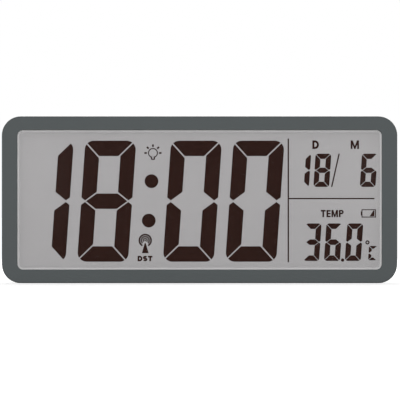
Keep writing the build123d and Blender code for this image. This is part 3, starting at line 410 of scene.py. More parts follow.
# %% [markdown]
# ## Lens and display films
# The lens is a clear plate whose bevelled edge catches the light, so it shows as a pale rim round the
# window. A real glass shader would cost many bounces for a plate this thin. Instead the plate is a
# transparent shader with a gloss that grows with the fifth power towards grazing angles, which is the
# usual short form of the Fresnel law, and nothing straight on, as an anti-reflection coat leaves it.
# Layer Weight gives that angle the same on the front and the back of the plate. The pale rim is a
# painted highlight: a pale diffuse shader, mixed in on faces found by the direction they point in,
# stands in for the light that the bevel catches. It is painted weaker where the faces look up, which
# makes the top edge darker by painted shade. It lets the light itself through, so that it throws no
# shadow on the display.

# %% The clear lens with its pale bevel
gloss_power = 5.0
# The share and the tone of the painted highlight on the bevel.
rim_highlight_share, flat_facing = 0.42, 0.99
pane_tone, rim_highlight_tone = (0.99, 0.99, 0.99, 1), (0.85, 0.85, 0.85, 1)


def only_looked_at(tree):
    """1 for rays that look at a surface, 0 for those that carry light past it to another."""
    seen = add_node(tree, "ShaderNodeLightPath").outputs
    lighting = calculate(tree, "MAXIMUM", seen["Is Shadow Ray"], seen["Is Diffuse Ray"])
    return calculate(tree, "SUBTRACT", 1.0, lighting)


def build_clear_lens():
    """A clear plate: see-through from the front, glossy at grazing angles, with a painted pale highlight
    on the bevel, weaker by painted shade where it faces up.
    """
    material, tree, gloss = start_material("clear_lens")
    wipe_marks = {"Grain mm": 6.0, "Roughness": 0.06}
    wiped = add_node(tree, "ShaderNodeGroup", wipe_marks, node_tree=drawn_streaks).outputs["Roughness"]
    feed(tree, gloss, {"Base Color": plain_white, "Metallic": 1.0, "Roughness": wiped})
    clear = made(tree, "ShaderNodeBsdfTransparent", {"Color": pane_tone})
    grazing = add_node(tree, "ShaderNodeLayerWeight", {"Blend": 0.5}).outputs["Facing"]
    sheen = calculate(tree, "POWER", grazing, gloss_power)
    pane = mix_shaders(tree, sheen, clear, gloss.outputs[0])

    # The bevel's pale rim is a painted highlight: a pale diffuse shader mixed in on the slanted faces.
    axes = axes_of(tree, add_node(tree, "ShaderNodeNewGeometry").outputs["Normal"])
    slanted = calculate(tree, "LESS_THAN", calculate(tree, "ABSOLUTE", axes["Y"]), flat_facing)
    # Painted shade: the highlight is weaker on faces that look up, so the top edge is darker.
    painted_shade_up = calculate(tree, "MAXIMUM", axes["Z"], 0.0)
    share = calculate(tree, "MULTIPLY_ADD", painted_shade_up, -rim_highlight_share, rim_highlight_share)
    shown = calculate(tree, "MULTIPLY", share, only_looked_at(tree))
    rim = made(tree, "ShaderNodeBsdfPrincipled", {"Base Color": rim_highlight_tone, "Roughness": 0.3})
    whole = mix_shaders(tree, calculate(tree, "MULTIPLY", slanted, shown), pane, rim)
    feed(tree, tree.nodes["Material Output"], {"Surface": whole})
    return material


finishes["clear_lens"] = build_clear_lens()
print("lens gloss at 60 degrees", round((1 - math.cos(math.radians(60))) ** gloss_power, 3))

# %% [markdown]
# The display is a sandwich: two polarisers and two glasses with the figures between them. Every layer
# in front of the figures has to be nearly invisible straight on. Each is a dark, very thin tint whose
# opacity wavers in streaks. The rear polariser carries the grey that the display shows, with the
# faint sparkle of the frosted reflector behind it. The figures are dark where they are looked at, but
# like the rim of the lens they throw no shadow on the grey. A ray crosses many clear faces on its way
# in, so the scene lets it pass more of them than usual.

# %% Glass, polarisers and light guide
film_grain, film_roughness = 4.0, 0.08
clear_faces_passed = 32
grey = shade(187, 185, 186)


def tint_sheet(name, colour, opacity):
    """A nearly clear sheet: a dark tint with a low opacity that wavers with the streaks."""
    material, tree, shader = start_material(name)
    streaks = cover(tree, shader, drawn_streaks, {
        "Colour": colour, "Grain mm": film_grain, "Roughness": film_roughness,
    })
    feed(tree, shader, {"Alpha": calculate(tree, "MULTIPLY", streaks, 2 * opacity)})
    return material


finishes["display_glass"] = tint_sheet("display_glass", shade(40, 52, 48), 0.004)
finishes["polariser_film"] = tint_sheet("polariser_film", shade(52, 50, 44), 0.008)
finishes["clear_guide"] = tint_sheet("clear_guide", shade(190, 200, 198), 0.12)
ink = finishes["dark_segments"]
tree = ink.node_tree
feed(tree, tree.nodes["Principled BSDF"], {"Alpha": only_looked_at(tree)})
display_grey = moulded(
    "display_grey", grey, grain=1.2, spread=0.05, roughness=0.6, relief=0.002, specular=0.0
)
bpy.context.scene.cycles.transparent_max_bounces = clear_faces_passed
print("display grey", [round(level, 3) for level in grey[:3]])

# %% [markdown]
# ## Finishes with a pattern of their own
# Three more surfaces have a pattern that is theirs alone: the green circuit board with its tracks,
# the striped rubber that carries the display's signals, and the sleeve round each battery cell, dark
# with a pale band at the end with the nub.

# %% Circuit board and striped rubber
def build_circuit_board():
    """Green board with paler tracks under the lacquer."""
    material, tree, shader = start_material("circuit_board")
    upright = {"Vector": own_place(tree), "Rotation": (math.radians(-90), 0, 0)}
    tracks = add_node(tree, "ShaderNodeTexBrick", {
        "Vector": made(tree, "ShaderNodeMapping", upright), "Scale": 1.0,
        "Color1": shade(22, 74, 42), "Color2": shade(20, 66, 38), "Mortar": shade(58, 122, 70),
        "Mortar Size": 0.3 * MM, "Brick Width": 9.0 * MM, "Row Height": 2.0 * MM,
    }).outputs
    cover(tree, shader, moulded_skin, {"Colour": tracks["Color"], "Roughness": 0.35})
    bump = made(tree, "ShaderNodeBump", {"Distance": 0.03 * MM, "Height": tracks["Fac"]})
    feed(tree, shader, {"Normal": bump})
    return material


def blend(tree, share, first, second):
    """A mix of two colours."""
    colours = {"Factor": share, "A": first, "B": second}
    return add_node(tree, "ShaderNodeMix", colours, data_type="RGBA").outputs["Result"]


def build_striped_rubber():
    """Carbon and clear rubber in thin layers side by side."""
    material, tree, shader = start_material("striped_rubber")
    pitch = 0.6 * MM
    along = calculate(tree, "FLOORED_MODULO", axes_of(tree, own_place(tree))["X"], pitch)
    layers = calculate(tree, "LESS_THAN", along, pitch / 2)
    feed(tree, shader, {
        "Base Color": blend(tree, layers, shade(28, 28, 29), shade(196, 190, 176)), "Roughness": 0.7,
    })
    return material


finishes["circuit_board"] = build_circuit_board()
finishes["striped_rubber"] = build_striped_rubber()
print("patterned finishes: circuit_board and striped_rubber")

# %% Cell sleeves
sleeve_band, end_facing = 9.0 * MM, 0.6


def build_cell_sleeve():
    """Printed sleeve, with a pale band at the end that has the nub, and bare steel ends."""
    material, tree, shader = start_material("cell_wrap")
    low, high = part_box("battery_cells")
    axes = axes_of(tree, own_place(tree))
    upper = calculate(tree, "GREATER_THAN", axes["Z"], (low.z + high.z) / 2)
    lower = calculate(tree, "SUBTRACT", 1.0, upper)
    left_end = calculate(tree, "LESS_THAN", axes["X"], low.x + sleeve_band)
    right_end = calculate(tree, "GREATER_THAN", axes["X"], high.x - sleeve_band)
    upper_band = calculate(tree, "MULTIPLY", upper, left_end)
    banded = calculate(tree, "MULTIPLY_ADD", lower, right_end, upper_band)
    normal = add_node(tree, "ShaderNodeNewGeometry").outputs["Normal"]
    endways = calculate(tree, "ABSOLUTE", axes_of(tree, normal)["X"])
    bare = calculate(tree, "GREATER_THAN", endways, end_facing)
    printed = blend(tree, banded, shade(48, 70, 96), shade(206, 208, 210))
    coloured = blend(tree, bare, printed, shade(200, 198, 192))
    cover(tree, shader, drawn_streaks, {"Colour": coloured, "Roughness": 0.3})
    feed(tree, shader, {"Metallic": bare})
    return material


finishes["cell_wrap"] = build_cell_sleeve()
print("pale bands", sleeve_band / MM, "mm wide")

# %% [markdown]
# Every node's record names the slot of its finish, so one loop dresses them all. Only the rear
# polariser is changed afterwards, because it carries the display's grey.

# %% Dress every CAD node
for part in frame["record"]["subparts"]:
    node = nodes[part["node"]]
    node.data.materials.clear()
    node.data.materials.append(finishes[part["material_slot"]])
nodes["rear_polariser"].data.materials[0] = display_grey

# %% [markdown]
# ## Signs in the display
# The display shows a few small words and pictures beside its figures: a lamp, a radio mast, a battery
# and some letters. They lie in the same thin layer as the figures, so each is a plate between the two
# glasses. A plate is an outline with a depth: its points are given as across and up, in millimetres
# from the middle of the clock's bottom edge.

# %% Flat outlines as plates
def new_piece(name, shape, finish):
    """The piece for a finished bmesh, at the origin, in its finish."""
    mesh = bpy.data.meshes.new(name)
    shape.to_mesh(mesh)
    shape.free()
    mesh.materials.append(finish)
    return new_object(name, mesh)


def plates(name, outlines, near, far, finish):
    """A closed plate for each outline of (across, up) points in mm, between two depths in metres."""
    shape = bmesh.new()
    for outline in outlines:
        front = [shape.verts.new((x * MM, near, z * MM)) for x, z in outline]
        back = [shape.verts.new((x * MM, far, z * MM)) for x, z in outline]
        shape.faces.new(front)
        shape.faces.new(back[::-1])
        for i in range(len(outline)):
            shape.faces.new((front[i - 1], front[i], back[i], back[i - 1]))
    bmesh.ops.recalc_face_normals(shape, faces=shape.faces)
    return new_piece(name, shape, finish)


def oblong(left, right, bottom, top):
    """The outline of an upright rectangle."""
    return [(left, bottom), (right, bottom), (right, top), (left, top)]


def arc_path(radius, start, sweep, steps=20):
    """Points along an arc about the origin, with its angles in degrees."""
    angles = [math.radians(start + sweep * i / steps) for i in range(steps + 1)]
    return [(radius * math.cos(a), radius * math.sin(a)) for a in angles]


def disc(radius, sides=16):
    """The outline of a disc about the origin."""
    return arc_path(radius, 0, 360 - 360 / sides, sides - 1)


def moved(outlines, across, up):
    """Outlines shifted to a place."""
    return [[(x + across, z + up) for x, z in outline] for outline in outlines]


layer_front, layer_back = (corner.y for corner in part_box("hour_digits"))
print("display layer", round((layer_back - layer_front) / MM, 3), "mm deep")

# %% [markdown]
# Blender has a font, but the display's letters are a heavy, narrow face, and fattening the font's
# outlines closes the corners of its M. Six letters are quickly drawn instead, each from its width,
# its height and the width of its stroke: bars, half rounds, and one path along two half ellipses for
# the S.

# %% The letters with curves
def bowl(left, right, bottom, top, stroke, steps=14):
    """The half round of a D or P, from its stem out along the top and back along the bottom."""
    middle = (bottom + top) / 2

    def rim(inset):
        high = (top - bottom) / 2 - inset
        reach = 0.9 * high
        turn = right - inset - reach
        angles = [math.pi / 2 - math.pi * i / steps for i in range(steps + 1)]
        curve = [(turn + reach * math.cos(a), middle + high * math.sin(a)) for a in angles]
        return [(left, middle + high), *curve, (left, middle - high)]

    return rim(0.0) + rim(stroke)[::-1]


def stroked(path, stroke):
    """The outline of a line of even width along a path."""
    left, right = [], []
    for i, (x, z) in enumerate(path):
        before, after = path[max(i - 1, 0)], path[min(i + 1, len(path) - 1)]
        along = Vector((after[0] - before[0], after[1] - before[1])).normalized() * stroke / 2
        left.append((x - along.y, z + along.x))
        right.append((x + along.y, z - along.x))
    return left + right[::-1]


def letter_s(width, height, stroke, steps=16):
    """Two half ellipses, one over the other, that share the middle of the letter."""
    reach, rise = (width - stroke) / 2, (height - stroke) / 4
    path = []
    for centre, start, sweep in ((height - stroke / 2 - rise, 25, 245), (stroke / 2 + rise, 90, -245)):
        for i in range(steps + 1):
            angle = math.radians(start + sweep * i / steps)
            path.append((width / 2 + reach * math.cos(angle), centre + rise * math.sin(angle)))
    path.pop(steps)
    return [stroked(path, stroke)]


print("an S of", len(letter_s(4.0, 5.0, 1.0)[0]), "points")

# %% Six heavy letters
def letter_m(width, height, stroke):
    """Two stems, with a wedge between them that reaches the foot of the letter."""
    shoulder, dip, foot = 1.1 * stroke, 0.36 * height, 0.35 * stroke
    slope = (height - dip) / (width / 2 - shoulder)
    inner = slope * (width / 2 - foot - stroke)
    over = [(0, 0), (0, height), (shoulder, height), (width / 2, dip)]
    under = [(width / 2 - foot, 0), (stroke, inner), (stroke, 0)]
    mirrored = [(width - x, z) for x, z in under + over[:3]][::-1]
    return [over + mirrored + under]


def letter_outlines(letter, width, height, stroke):
    """The outlines of one letter that stands at the origin."""
    stem = oblong(0, stroke, 0, height)
    if letter == "D":
        return [stem, bowl(stroke, width, 0, height, stroke)]
    if letter == "P":
        return [stem, bowl(stroke, width, 0.42 * height, height, 0.9 * stroke)]
    if letter == "E":
        heights = (0.0, (height - stroke) / 2, height - stroke)
        return [stem] + [oblong(stroke, width, z, z + 0.9 * stroke) for z in heights]
    if letter == "T":
        stem = oblong((width - stroke) / 2, (width + stroke) / 2, 0, height - stroke)
        return [oblong(0, width, height - stroke, height), stem]
    return letter_m(width, height, stroke) if letter == "M" else letter_s(width, height, stroke)


letter_shares = {"D": 1.0, "M": 1.3, "T": 0.95, "E": 0.82, "P": 0.95, "S": 0.95}


def word_outlines(word, left, right, bottom, top, stroke, space):
    """A word that fills its box, with each letter's width as its share of the room."""
    unit = (right - left - space * (len(word) - 1)) / sum(letter_shares[letter] for letter in word)
    outlines = []
    for letter in word:
        width = unit * letter_shares[letter]
        outlines += moved(letter_outlines(letter, width, top - bottom, stroke), left, bottom)
        left += width + space
    return outlines


display_words = {
    "day_letter": ("D", 104.15, 110.25, 123.9, 131.8, 1.9, 0.0),
    "month_letter": ("M", 139.55, 147.25, 123.9, 131.8, 1.7, 0.0),
    "temperature_word": ("TEMP", 112.0, 133.1, 60.9, 67.6, 1.55, 0.75),
    "saving_word": ("DST", -57.2, -43.45, 20.2, 25.2, 1.55, 0.45),
}
for name, box in display_words.items():
    piece = plates(name, word_outlines(*box), layer_front, layer_back, ink)
    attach(piece, "case")
print("display words:", ", ".join(box[0] for box in display_words.values()))

# %% [markdown]
# The lamp's rays and the mast's waves repeat round a centre, so each is a small Geometry Nodes tree
# with its sizes as inputs. For the rays an arc gives the places, and a bar stands on each. For the
# waves, and for the lamp's own ring, an arc gets a flat section, and an opening at its bottom. Both
# trees draw in the XY plane, and their last steps turn the drawing to face its reader and move it to
# its centre.

# %% Starting, ending and running a tree
def start_tree(name, **sizes):
    """A geometry tree with these named inputs, a centre, a turn and a finish, and its input sockets."""
    tree = bpy.data.node_groups.new(name, "GeometryNodeTree")
    tree.interface.new_socket("Geometry", in_out="OUTPUT", socket_type="NodeSocketGeometry")
    for label, kind in {**sizes, "Centre": "Vector", "Turn": "Vector", "Finish": "Material"}.items():
        tree.interface.new_socket(label, in_out="INPUT", socket_type=f"NodeSocket{kind}")
    return tree, tree.nodes.new("NodeGroupInput").outputs


def end_tree(tree, given, geometry):
    """Realize, turn and place the geometry, give it its finish and pass it out."""
    placed = made(tree, "GeometryNodeTransform", {
        "Geometry": made(tree, "GeometryNodeRealizeInstances", {"Geometry": geometry}),
        "Translation": given["Centre"],
        "Rotation": made(tree, "FunctionNodeEulerToRotation", {"Euler": given["Turn"]}),
    })
    finish = {"Geometry": placed, "Material": given["Finish"]}
    add_node(tree, "NodeGroupOutput", {"Geometry": made(tree, "GeometryNodeSetMaterial", finish)})
    return tree


def evaluated_mesh(thing):
    """A plain mesh of what an object shows."""
    return bpy.data.meshes.new_from_object(thing.evaluated_get(bpy.context.evaluated_depsgraph_get()))


def grow(name, tree, values):
    """Run a tree with these input values and keep its result as a plain mesh."""
    piece = new_object(name, bpy.data.meshes.new(name))
    modifier = piece.modifiers.new("tree", "NODES")
    modifier.node_group = tree
    for socket in tree.interface.items_tree:
        if socket.in_out == "INPUT":
            modifier[socket.identifier] = values[socket.name]
    mesh = evaluated_mesh(piece)
    piece.modifiers.remove(modifier)
    piece.data = mesh
    mesh.name = name
    return piece


def joined(name, pieces):
    """Several pieces of the same finish as one."""
    shape = bmesh.new()
    for piece in pieces:
        shape.from_mesh(piece.data)
    finish = pieces[0].data.materials[0]
    for piece in pieces:
        bpy.data.objects.remove(piece)
    return new_piece(name, shape, finish)


print(len(bpy.data.node_groups), "node groups before the first tree")

# %% Trees for rays and arcs
arc_points = 41


def arc_curve(tree, given, resolution):
    """An arc about the origin, from the tree's own radius and angles."""
    return made(tree, "GeometryNodeCurveArc", {
        "Resolution": resolution, "Radius": given["Radius"],
        "Start Angle": given["Start"], "Sweep Angle": given["Sweep"],
    })


def swept(tree, path, section):
    """A closed bar with this section along a path."""
    bar = {"Curve": path, "Profile Curve": section, "Fill Caps": True}
    return made(tree, "GeometryNodeCurveToMesh", bar)


def build_ray_fan():
    """Straight rays that stand out from an arc."""
    tree, given = start_tree(
        "ray_fan", Count="Int", Start="Float", Sweep="Float", Radius="Float", Ray="Vector"
    )
    arc = {"Curve": arc_curve(tree, given, given["Count"])}
    outward = {"Vector": made(tree, "GeometryNodeInputPosition")}
    fan = made(tree, "GeometryNodeInstanceOnPoints", {
        "Points": made(tree, "GeometryNodeCurveToPoints", arc, mode="EVALUATED"),
        "Instance": made(tree, "GeometryNodeMeshCube", {"Size": given["Ray"]}),
        "Rotation": made(tree, "FunctionNodeAlignRotationToVector", outward, axis="X"),
    })
    return end_tree(tree, given, fan)


def build_arc_band():
    """A flat band of even width along an arc."""
    tree, given = start_tree(
        "arc_band", Radius="Float", Start="Float", Sweep="Float", Line="Float", Thickness="Float"
    )
    arc = {"Curve": arc_curve(tree, given, arc_points)}
    level = made(tree, "GeometryNodeSetCurveNormal", arc, mode="Z_UP")
    flat = {"Width": given["Line"], "Height": given["Thickness"]}
    section = made(tree, "GeometryNodeCurvePrimitiveQuadrilateral", flat)
    return end_tree(tree, given, swept(tree, level, section))


ray_fan = build_ray_fan()
arc_band = build_arc_band()
print("trees:", ray_fan.name, arc_band.name)

# %% [markdown]
# With the trees and the plates, each sign is a few sizes: the lamp is a ring with a small cap under it
# and five rays, the mast is a wedge under a dot with three waves that stay open where it stands, and
# the battery is a frame with its nub and what is left of its charge.

# %% The lamp sign
to_front = (math.radians(90), 0.0, 0.0)
layer_middle = (layer_front + layer_back) / 2
layer_depth = layer_back - layer_front
lamp_across, lamp_up = -43.05, 120.2
lamp_radius, lamp_line = 4.6, 0.95
neck_angle = 26.0
cap_half, cap_bottom, cap_line = 1.85, -6.3, 1.2
ray_inner, ray_outer, ray_width = 5.6, 7.95, 1.6


def display_sign(name, pieces):
    """Join a sign's pieces and fix it in the display."""
    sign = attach(joined(name, pieces), "case")
    print(name, "has", len(sign.data.polygons), "faces")


def display_arc(name, radius, opening, line, centre):
    """A ring in the display that is open towards the bottom, by an angle to each side."""
    return grow(name, arc_band, {
        "Radius": radius * MM, "Line": line * MM, "Thickness": layer_depth,
        "Start": math.radians(opening - 90), "Sweep": math.radians(360 - 2 * opening),
        "Centre": centre, "Turn": to_front, "Finish": ink,
    })


lamp_centre = (lamp_across * MM, layer_middle, lamp_up * MM)
lamp_glass = display_arc("lamp_glass", lamp_radius - lamp_line / 2, neck_angle, lamp_line, lamp_centre)
lamp_rays = grow("lamp_rays", ray_fan, {
    "Count": 5, "Start": 0.0, "Sweep": math.radians(180), "Radius": (ray_inner + ray_outer) / 2 * MM,
    "Ray": ((ray_outer - ray_inner) * MM, ray_width * MM, layer_depth),
    "Centre": lamp_centre, "Turn": to_front, "Finish": ink,
})
cap_top = -lamp_radius * math.cos(math.radians(neck_angle)) + lamp_line
cap_bars = [
    oblong(-cap_half, cap_line - cap_half, cap_bottom, cap_top),
    oblong(cap_half - cap_line, cap_half, cap_bottom, cap_top),
    oblong(cap_line - cap_half, cap_half - cap_line, cap_bottom, cap_bottom + lamp_line),
]
lamp_cap = plates("lamp_cap", moved(cap_bars, lamp_across, lamp_up), layer_front, layer_back, ink)
display_sign("lamp_sign", [lamp_glass, lamp_rays, lamp_cap])

# %% The mast sign
mast_across, mast_up = -50.15, 39.45
mast_waves = {
    "inner_wave": (1.75, 47.0, 1.15),
    "middle_wave": (3.55, 44.0, 1.3),
    "outer_wave": (5.4, 28.0, 1.55),
}
mast_dot = 0.7
mast_half, mast_foot = 3.15, -11.75
tip_half, tip_top = 0.45, -2.4
mast_centre = (mast_across * MM, layer_middle, mast_up * MM)
waves = [display_arc(name, *wave, mast_centre) for name, wave in mast_waves.items()]
wedge = [(-mast_half, mast_foot), (mast_half, mast_foot), (tip_half, tip_top), (-tip_half, tip_top)]
mast_outlines = moved([wedge, disc(mast_dot)], mast_across, mast_up)
mast = plates("mast", mast_outlines, layer_front, layer_back, ink)
display_sign("mast_sign", [*waves, mast])

# %% The battery sign
battery_left, battery_right = 149.6, 162.9
battery_bottom, battery_top = 60.6, 68.2
battery_line = 0.85
nub_length, nub_half = 0.7, 1.9
charge_width, charge_top, charge_height = 4.4, 1.1, 5.3
charge_inset = 1.6 * battery_line
battery_middle = (battery_bottom + battery_top) / 2
inner_bottom, inner_top = battery_bottom + battery_line, battery_top - battery_line
charge_right = battery_right - charge_inset
low, high = battery_middle - charge_height / 2, battery_middle + charge_height / 2
battery_outlines = [
    oblong(battery_left, battery_right, battery_bottom, inner_bottom),
    oblong(battery_left, battery_right, inner_top, battery_top),
    oblong(battery_left, battery_left + battery_line, inner_bottom, inner_top),
    oblong(battery_right - battery_line, battery_right, inner_bottom, inner_top),
    oblong(battery_left - nub_length, battery_left, battery_middle - nub_half, battery_middle + nub_half),
    [(charge_right - charge_width, low), (charge_right, low), (charge_right, high),
     (charge_right - charge_top, high)],
]
battery_frame = plates("battery_frame", battery_outlines, layer_front, layer_back, ink)
display_sign("battery_sign", [battery_frame])

# %% [markdown]
# ## Words on the back
# A name over every button says what it does, and the battery door says how it opens. Blender's own
# font is right for these small, light letters. A text object is made a mesh first and only then laid
# on its surface, turned to be read from behind: what runs to the right in the text runs towards -X.

# %% Words that are read from behind
def lettering(name, word, across, up, height, near, far, finish):
    """A word centred across a place in mm, as a closed print between two depths in metres."""
    curve = bpy.data.curves.new(name, "FONT")
    curve.body = word
    curve.align_x = "CENTER"
    curve.resolution_u = 3
    curve.extrude = 0.5
    draft = new_object(name, curve)
    shape = bmesh.new()
    shape.from_mesh(evaluated_mesh(draft))
    bpy.data.objects.remove(draft)
    heights = [v.co.y for v in shape.verts]
    scale = height / (max(heights) - min(heights))
    for v in shape.verts:
        x, y, z = v.co
        v.co = ((across - x * scale) * MM, near + (z + 0.5) * (far - near), (up + y * scale) * MM)
    bmesh.ops.remove_doubles(shape, verts=shape.verts, dist=0.001 * MM)
    bmesh.ops.recalc_face_normals(shape, faces=shape.faces)
    return new_piece(name, shape, finish)


def middle_of(node):
    """The middle of a node across and up, in millimetres."""
    low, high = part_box(node)
    return (low.x + high.x) / 2 / MM, (low.z + high.z) / 2 / MM


printed = dict(grain=0.3, roughness=0.6, relief=0.004)
white_print = moulded("white_print", shade(206, 208, 206), spread=0.12, **printed)
print_sink, print_height = 0.02 * MM, 0.03 * MM
button_words = {
    "light": "LIGHT", "wave": "WAVE", "unit": "C / F", "down": "DOWN", "up": "UP", "set": "SET",
}
word_height, word_space, button_half = 3.0, 1.9, 3.5
back_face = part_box("rear_housing")[1].y
prints = []
for button, word in button_words.items():
    across, up = middle_of(f"{button}_button")
    prints.append(lettering(
        f"{button}_word", word, across, up + button_half + word_space, word_height,
        back_face - print_sink, back_face + print_height, white_print,
    ))
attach(joined("button_print", prints), "case")
print("printed", ", ".join(button_words.values()))

# %% [markdown]
# ## Raised signs on the buttons
# Fingers find these buttons behind the clock, unseen, so each cap carries a small raised sign: two
# triangles, a lamp, waves, a thermometer and a clock face. They are plates again, a fifth of a
# millimetre high, and each rides on its own button so that it goes in with it.

# %% Six raised signs
sign_sink, sign_height, sign_line = 0.1 * MM, 0.2 * MM, 0.45
half_line = sign_line / 2
fan_inner, fan_outer = 1.8, 2.5


def half_rings(radius):
    """A ring as two half rings."""
    return [stroked(arc_path(radius, start, 180), sign_line) for start in (0, 180)]


triangle = [(-1.9, -1.3), (1.9, -1.3), (0.0, 1.7)]
wave_fan = [stroked(arc_path(radius, 45, 90), sign_line) for radius in (1.2, 2.2, 3.2)]
lamp_fan = [
    stroked([(fan_inner * x, fan_inner * z), (fan_outer * x, fan_outer * z)], sign_line)
    for x, z in arc_path(1.0, 0, 180, 4)
]
lamp_foot = [oblong(-0.6, 0.6, -1.9, -1.5)]
clock_hands = [oblong(-half_line, half_line, 0.0, 1.4), oblong(-1.0, 0.0, -half_line, half_line)]
cap_signs = {
    "light": half_rings(1.2) + lamp_fan + lamp_foot,
    "wave": moved(wave_fan + [disc(0.45)], 0.0, -1.6),
    "unit": moved([disc(0.85)], 0.0, -1.4) + [oblong(-0.35, 0.35, -0.8, 2.2)],
    "down": [[(x, -z) for x, z in triangle]],
    "up": [triangle],
    "set": half_rings(2.2) + clock_hands,
}
for button, outlines in cap_signs.items():
    across, up = middle_of(f"{button}_button")
    cap_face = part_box(f"{button}_button")[1].y
    sign = plates(
        f"{button}_sign", moved(outlines, across, up), cap_face - sign_sink, cap_face + sign_height,
        finishes["button_plastic"],
    )
    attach(sign, f"{button}_button")
print("raised signs on", len(cap_signs), "buttons")

# %% [markdown]
# ## Ribs
# The battery door and the foot of the stand each have a sunk place for a finger, with ribs in it, and
# the hidden side of the stand is stiffened. All three are rows of equal bars, so one tree makes them:
# a line of points with a round bar on each. The bar lies partly inside the surface, and what stands
# out is a rounded rib.

# %% A tree for rows of ribs
rib_sides = 14


def round_section(tree, radius, sides):
    """A circle for a bar or a wire to be swept with."""
    size = {"Resolution": sides, "Radius": radius}
    return made(tree, "GeometryNodeCurvePrimitiveCircle", size)


def build_rib_row():
    """Round bars side by side, with the same step from each to the next."""
    tree, given = start_tree(
        "rib_row", Count="Int", First="Vector", Step="Vector", Half="Vector", Radius="Float"
    )
    places = made(tree, "GeometryNodeMeshLine", {
        "Count": given["Count"], "Start Location": given["First"], "Offset": given["Step"],
    })
    back = {0: given["Half"], "Scale": -1.0}
    other_end = made(tree, "ShaderNodeVectorMath", back, operation="SCALE")
    run = made(tree, "GeometryNodeCurvePrimitiveLine", {"Start": other_end, "End": given["Half"]})
    bar = swept(tree, run, round_section(tree, given["Radius"], rib_sides))
    each = {"Points": places, "Instance": bar}
    return end_tree(tree, given, made(tree, "GeometryNodeInstanceOnPoints", each))


rib_row = build_rib_row()
print("tree:", rib_row.name)

# %% Ribs on the door and the stand
rib_radius, rib_pitch, rib_margin = 0.7, 2.3, 0.8
door_grip_width, door_grip_drop = 24.0, 8.3
stand_grip_width, stand_grip_rise = 40.0, 10.0
stand_thickness = 3.2 * MM
stiffener_half, stiffener_rise, stiffener_pitch, stiffener_height = 26.0, 34.0, 18.0, 0.5
door_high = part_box("battery_door")[1]
stand_low, stand_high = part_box("stand")
door_middle = middle_of("battery_door")[0] * MM
flush = rib_radius * MM
bar_middle = stand_high.y - stand_thickness + (rib_radius - stiffener_height) * MM
rib_rows = {
    "door_grip": (
        "battery_door", "door_plastic", 4, (0, 0, rib_pitch), (door_grip_width / 2 - rib_margin, 0, 0),
        (door_middle, door_high.y - flush, door_high.z - door_grip_drop * MM),
    ),
    "stand_grip": (
        "stand", "stand_plastic", 5, (0, 0, rib_pitch), (stand_grip_width / 2 - rib_margin, 0, 0),
        (0.0, stand_high.y - flush, stand_low.z + stand_grip_rise * MM),
    ),
    "stand_stiffeners": (
        "stand", "stand_plastic", 5, (stiffener_pitch, 0, 0), (0, 0, stiffener_half),
        (0.0, bar_middle, stand_low.z + stiffener_rise * MM),
    ),
}
for name, (body, slot, count, step, half, centre) in rib_rows.items():
    row = grow(name, rib_row, {
        "Count": count, "First": [-part * (count - 1) / 2 * MM for part in step],
        "Step": [part * MM for part in step], "Half": [part * MM for part in half],
        "Radius": flush, "Centre": centre, "Turn": (0.0, 0.0, 0.0), "Finish": finishes[slot],
    })
    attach(row, body)
    print(name, "has", len(row.data.polygons), "faces")

# %% [markdown]
# Under its ribs the door has an arrow that points the way it swings and the word for it, printed like
# the words over the buttons.

# %% The door's arrow and word
open_height, open_drop, arrow_drop = 3.2, 24.5, 17.6
arrow_half, arrow_top, arrow_tip = 2.8, 1.5, -1.9
arrow = [[(-arrow_half, arrow_top), (arrow_half, arrow_top), (0.0, arrow_tip)]]
door_across, door_up = door_middle / MM, door_high.z / MM
door_print = door_high.y - print_sink, door_high.y + print_height, white_print
door_arrow = plates("door_arrow", moved(arrow, door_across, door_up - arrow_drop), *door_print)
open_word = lettering("open_word", "OPEN", door_across, door_up - open_drop, open_height, *door_print)
door_pieces = [door_arrow, open_word]
door_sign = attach(joined("door_sign", door_pieces), "battery_door")
print("door sign", len(door_sign.data.polygons), "faces")

# %% [markdown]
# ## The label
# The shallow recess beside the stand holds a silver label. It names nothing: it shows which way round
# the two cells go, inside a thin border. The plate has round corners and the drawing is printed on it.

# %% Outlines for the label
def rounded(width, height, corner, steps=6):
    """The outline of a rectangle with round corners about the origin."""
    points = []
    for start, x_side, z_side in ((0, 1, 1), (90, -1, 1), (180, -1, -1), (270, 1, -1)):
        x, z = x_side * (width / 2 - corner), z_side * (height / 2 - corner)
        points += moved([arc_path(corner, start, 90, steps)], x, z)[0]
    return points


def closed_line(points, line):
    """A line of even width along a closed outline, one straight piece for each side."""
    return [stroked([points[i - 1], points[i]], line) for i in range(len(points))]


def cell_drawing(up, flip):
    """A cell lying down, with its nub, a plus at the nub and a minus at the other end."""
    half, radius, nub, nub_radius, line = 15.0, 3.4, 1.4, 1.2, 0.4
    mark, arm, thick = 11.5, 1.5, 0.3
    drawn = [
        *closed_line(oblong(-half, half, -radius, radius), line),
        oblong(half, half + nub, -nub_radius, nub_radius),
        oblong(mark - arm, mark + arm, -thick, thick),
        oblong(mark - thick, mark + thick, thick, arm),
        oblong(mark - thick, mark + thick, -arm, -thick),
        oblong(-mark - arm, arm - mark, -thick, thick),
    ]
    return [[(flip * x, z + up) for x, z in outline] for outline in drawn]


print("a cell is drawn with", len(cell_drawing(0.0, 1)), "outlines")

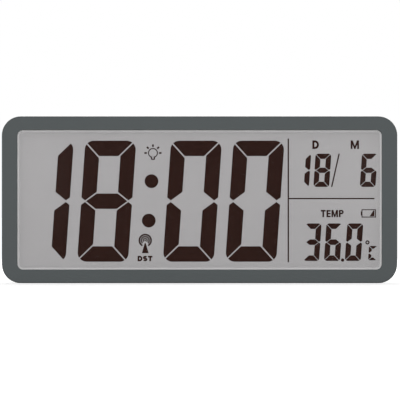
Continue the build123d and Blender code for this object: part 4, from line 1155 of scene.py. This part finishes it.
# %% A silver label with the cells' drawing
label_across, label_up = -112.0, 40.0
label_width, label_height, label_corner = 61.0, 29.0, 1.6
label_depth, label_thickness = 0.3 * MM, 0.15 * MM
border_half, border_up, border_line = 28.5, 12.5, 0.3
cell_rise = 5.0
label_film = rolled_film("label_film", shade(168, 170, 171), grain=0.3, spread=0.1, roughness=0.35)
dark_print = moulded("dark_print", shade(44, 46, 48), spread=0.15, **printed)
label_back = back_face - label_depth
label_face = label_back + label_thickness
plate = [rounded(label_width, label_height, label_corner)]
border = closed_line(oblong(-border_half, border_half, -border_up, border_up), border_line)
drawing = border + cell_drawing(cell_rise, -1) + cell_drawing(-cell_rise, 1)
label_layers = {
    "back_label": (plate, label_back - print_sink, label_face, label_film),
    "label_print": (drawing, label_face - print_sink, label_face + print_height, dark_print),
}
for name, (outlines, near, far, finish) in label_layers.items():
    piece = plates(name, moved(outlines, label_across, label_up), near, far, finish)
    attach(piece, "case")
print("label", label_width, "by", label_height, "mm")

# %% [markdown]
# ## The antenna's winding
# The radio's antenna is a ferrite rod with fine copper wire wound round it. The solid is a plain
# sleeve that holds the space. A spiral curve with a round section gives the wire itself, in two
# layers wound in opposite directions.

# %% Two layers of wire
points_a_turn, wire_sides = 24, 6


def build_winding():
    """A wire wound round the Z axis, one turn beside the next."""
    tree, given = start_tree(
        "winding", Turns="Float", Radius="Float", Length="Float", Wire="Float", Reverse="Bool"
    )
    spiral = made(tree, "GeometryNodeCurveSpiral", {
        "Resolution": points_a_turn, "Rotations": given["Turns"], "Start Radius": given["Radius"],
        "End Radius": given["Radius"], "Height": given["Length"], "Reverse": given["Reverse"],
    })
    return end_tree(tree, given, swept(tree, spiral, round_section(tree, given["Wire"], wire_sides)))


winding = build_winding()
wire_radius = 0.28 * MM
turn_pitch = 2.1 * wire_radius
along_x = (0.0, math.radians(90), 0.0)
coil_low, coil_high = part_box("antenna_coil")
coil_radius = (coil_high.z - coil_low.z) / 2 - wire_radius
coil_length = coil_high.x - coil_low.x - 2 * wire_radius
coil_start = (coil_low.x + wire_radius, (coil_low.y + coil_high.y) / 2, (coil_low.z + coil_high.z) / 2)
layers = [
    grow(f"coil_layer_{layer}", winding, {
        "Turns": coil_length / turn_pitch, "Radius": coil_radius - layer * 2 * wire_radius,
        "Length": coil_length, "Wire": wire_radius, "Reverse": layer == 1,
        "Centre": coil_start, "Turn": along_x, "Finish": finishes["copper_winding"],
    })
    for layer in range(2)
]
antenna_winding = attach(joined("antenna_winding", layers), "case")
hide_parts("antenna_coil")
print("winding of", round(coil_length / turn_pitch), "turns a layer")
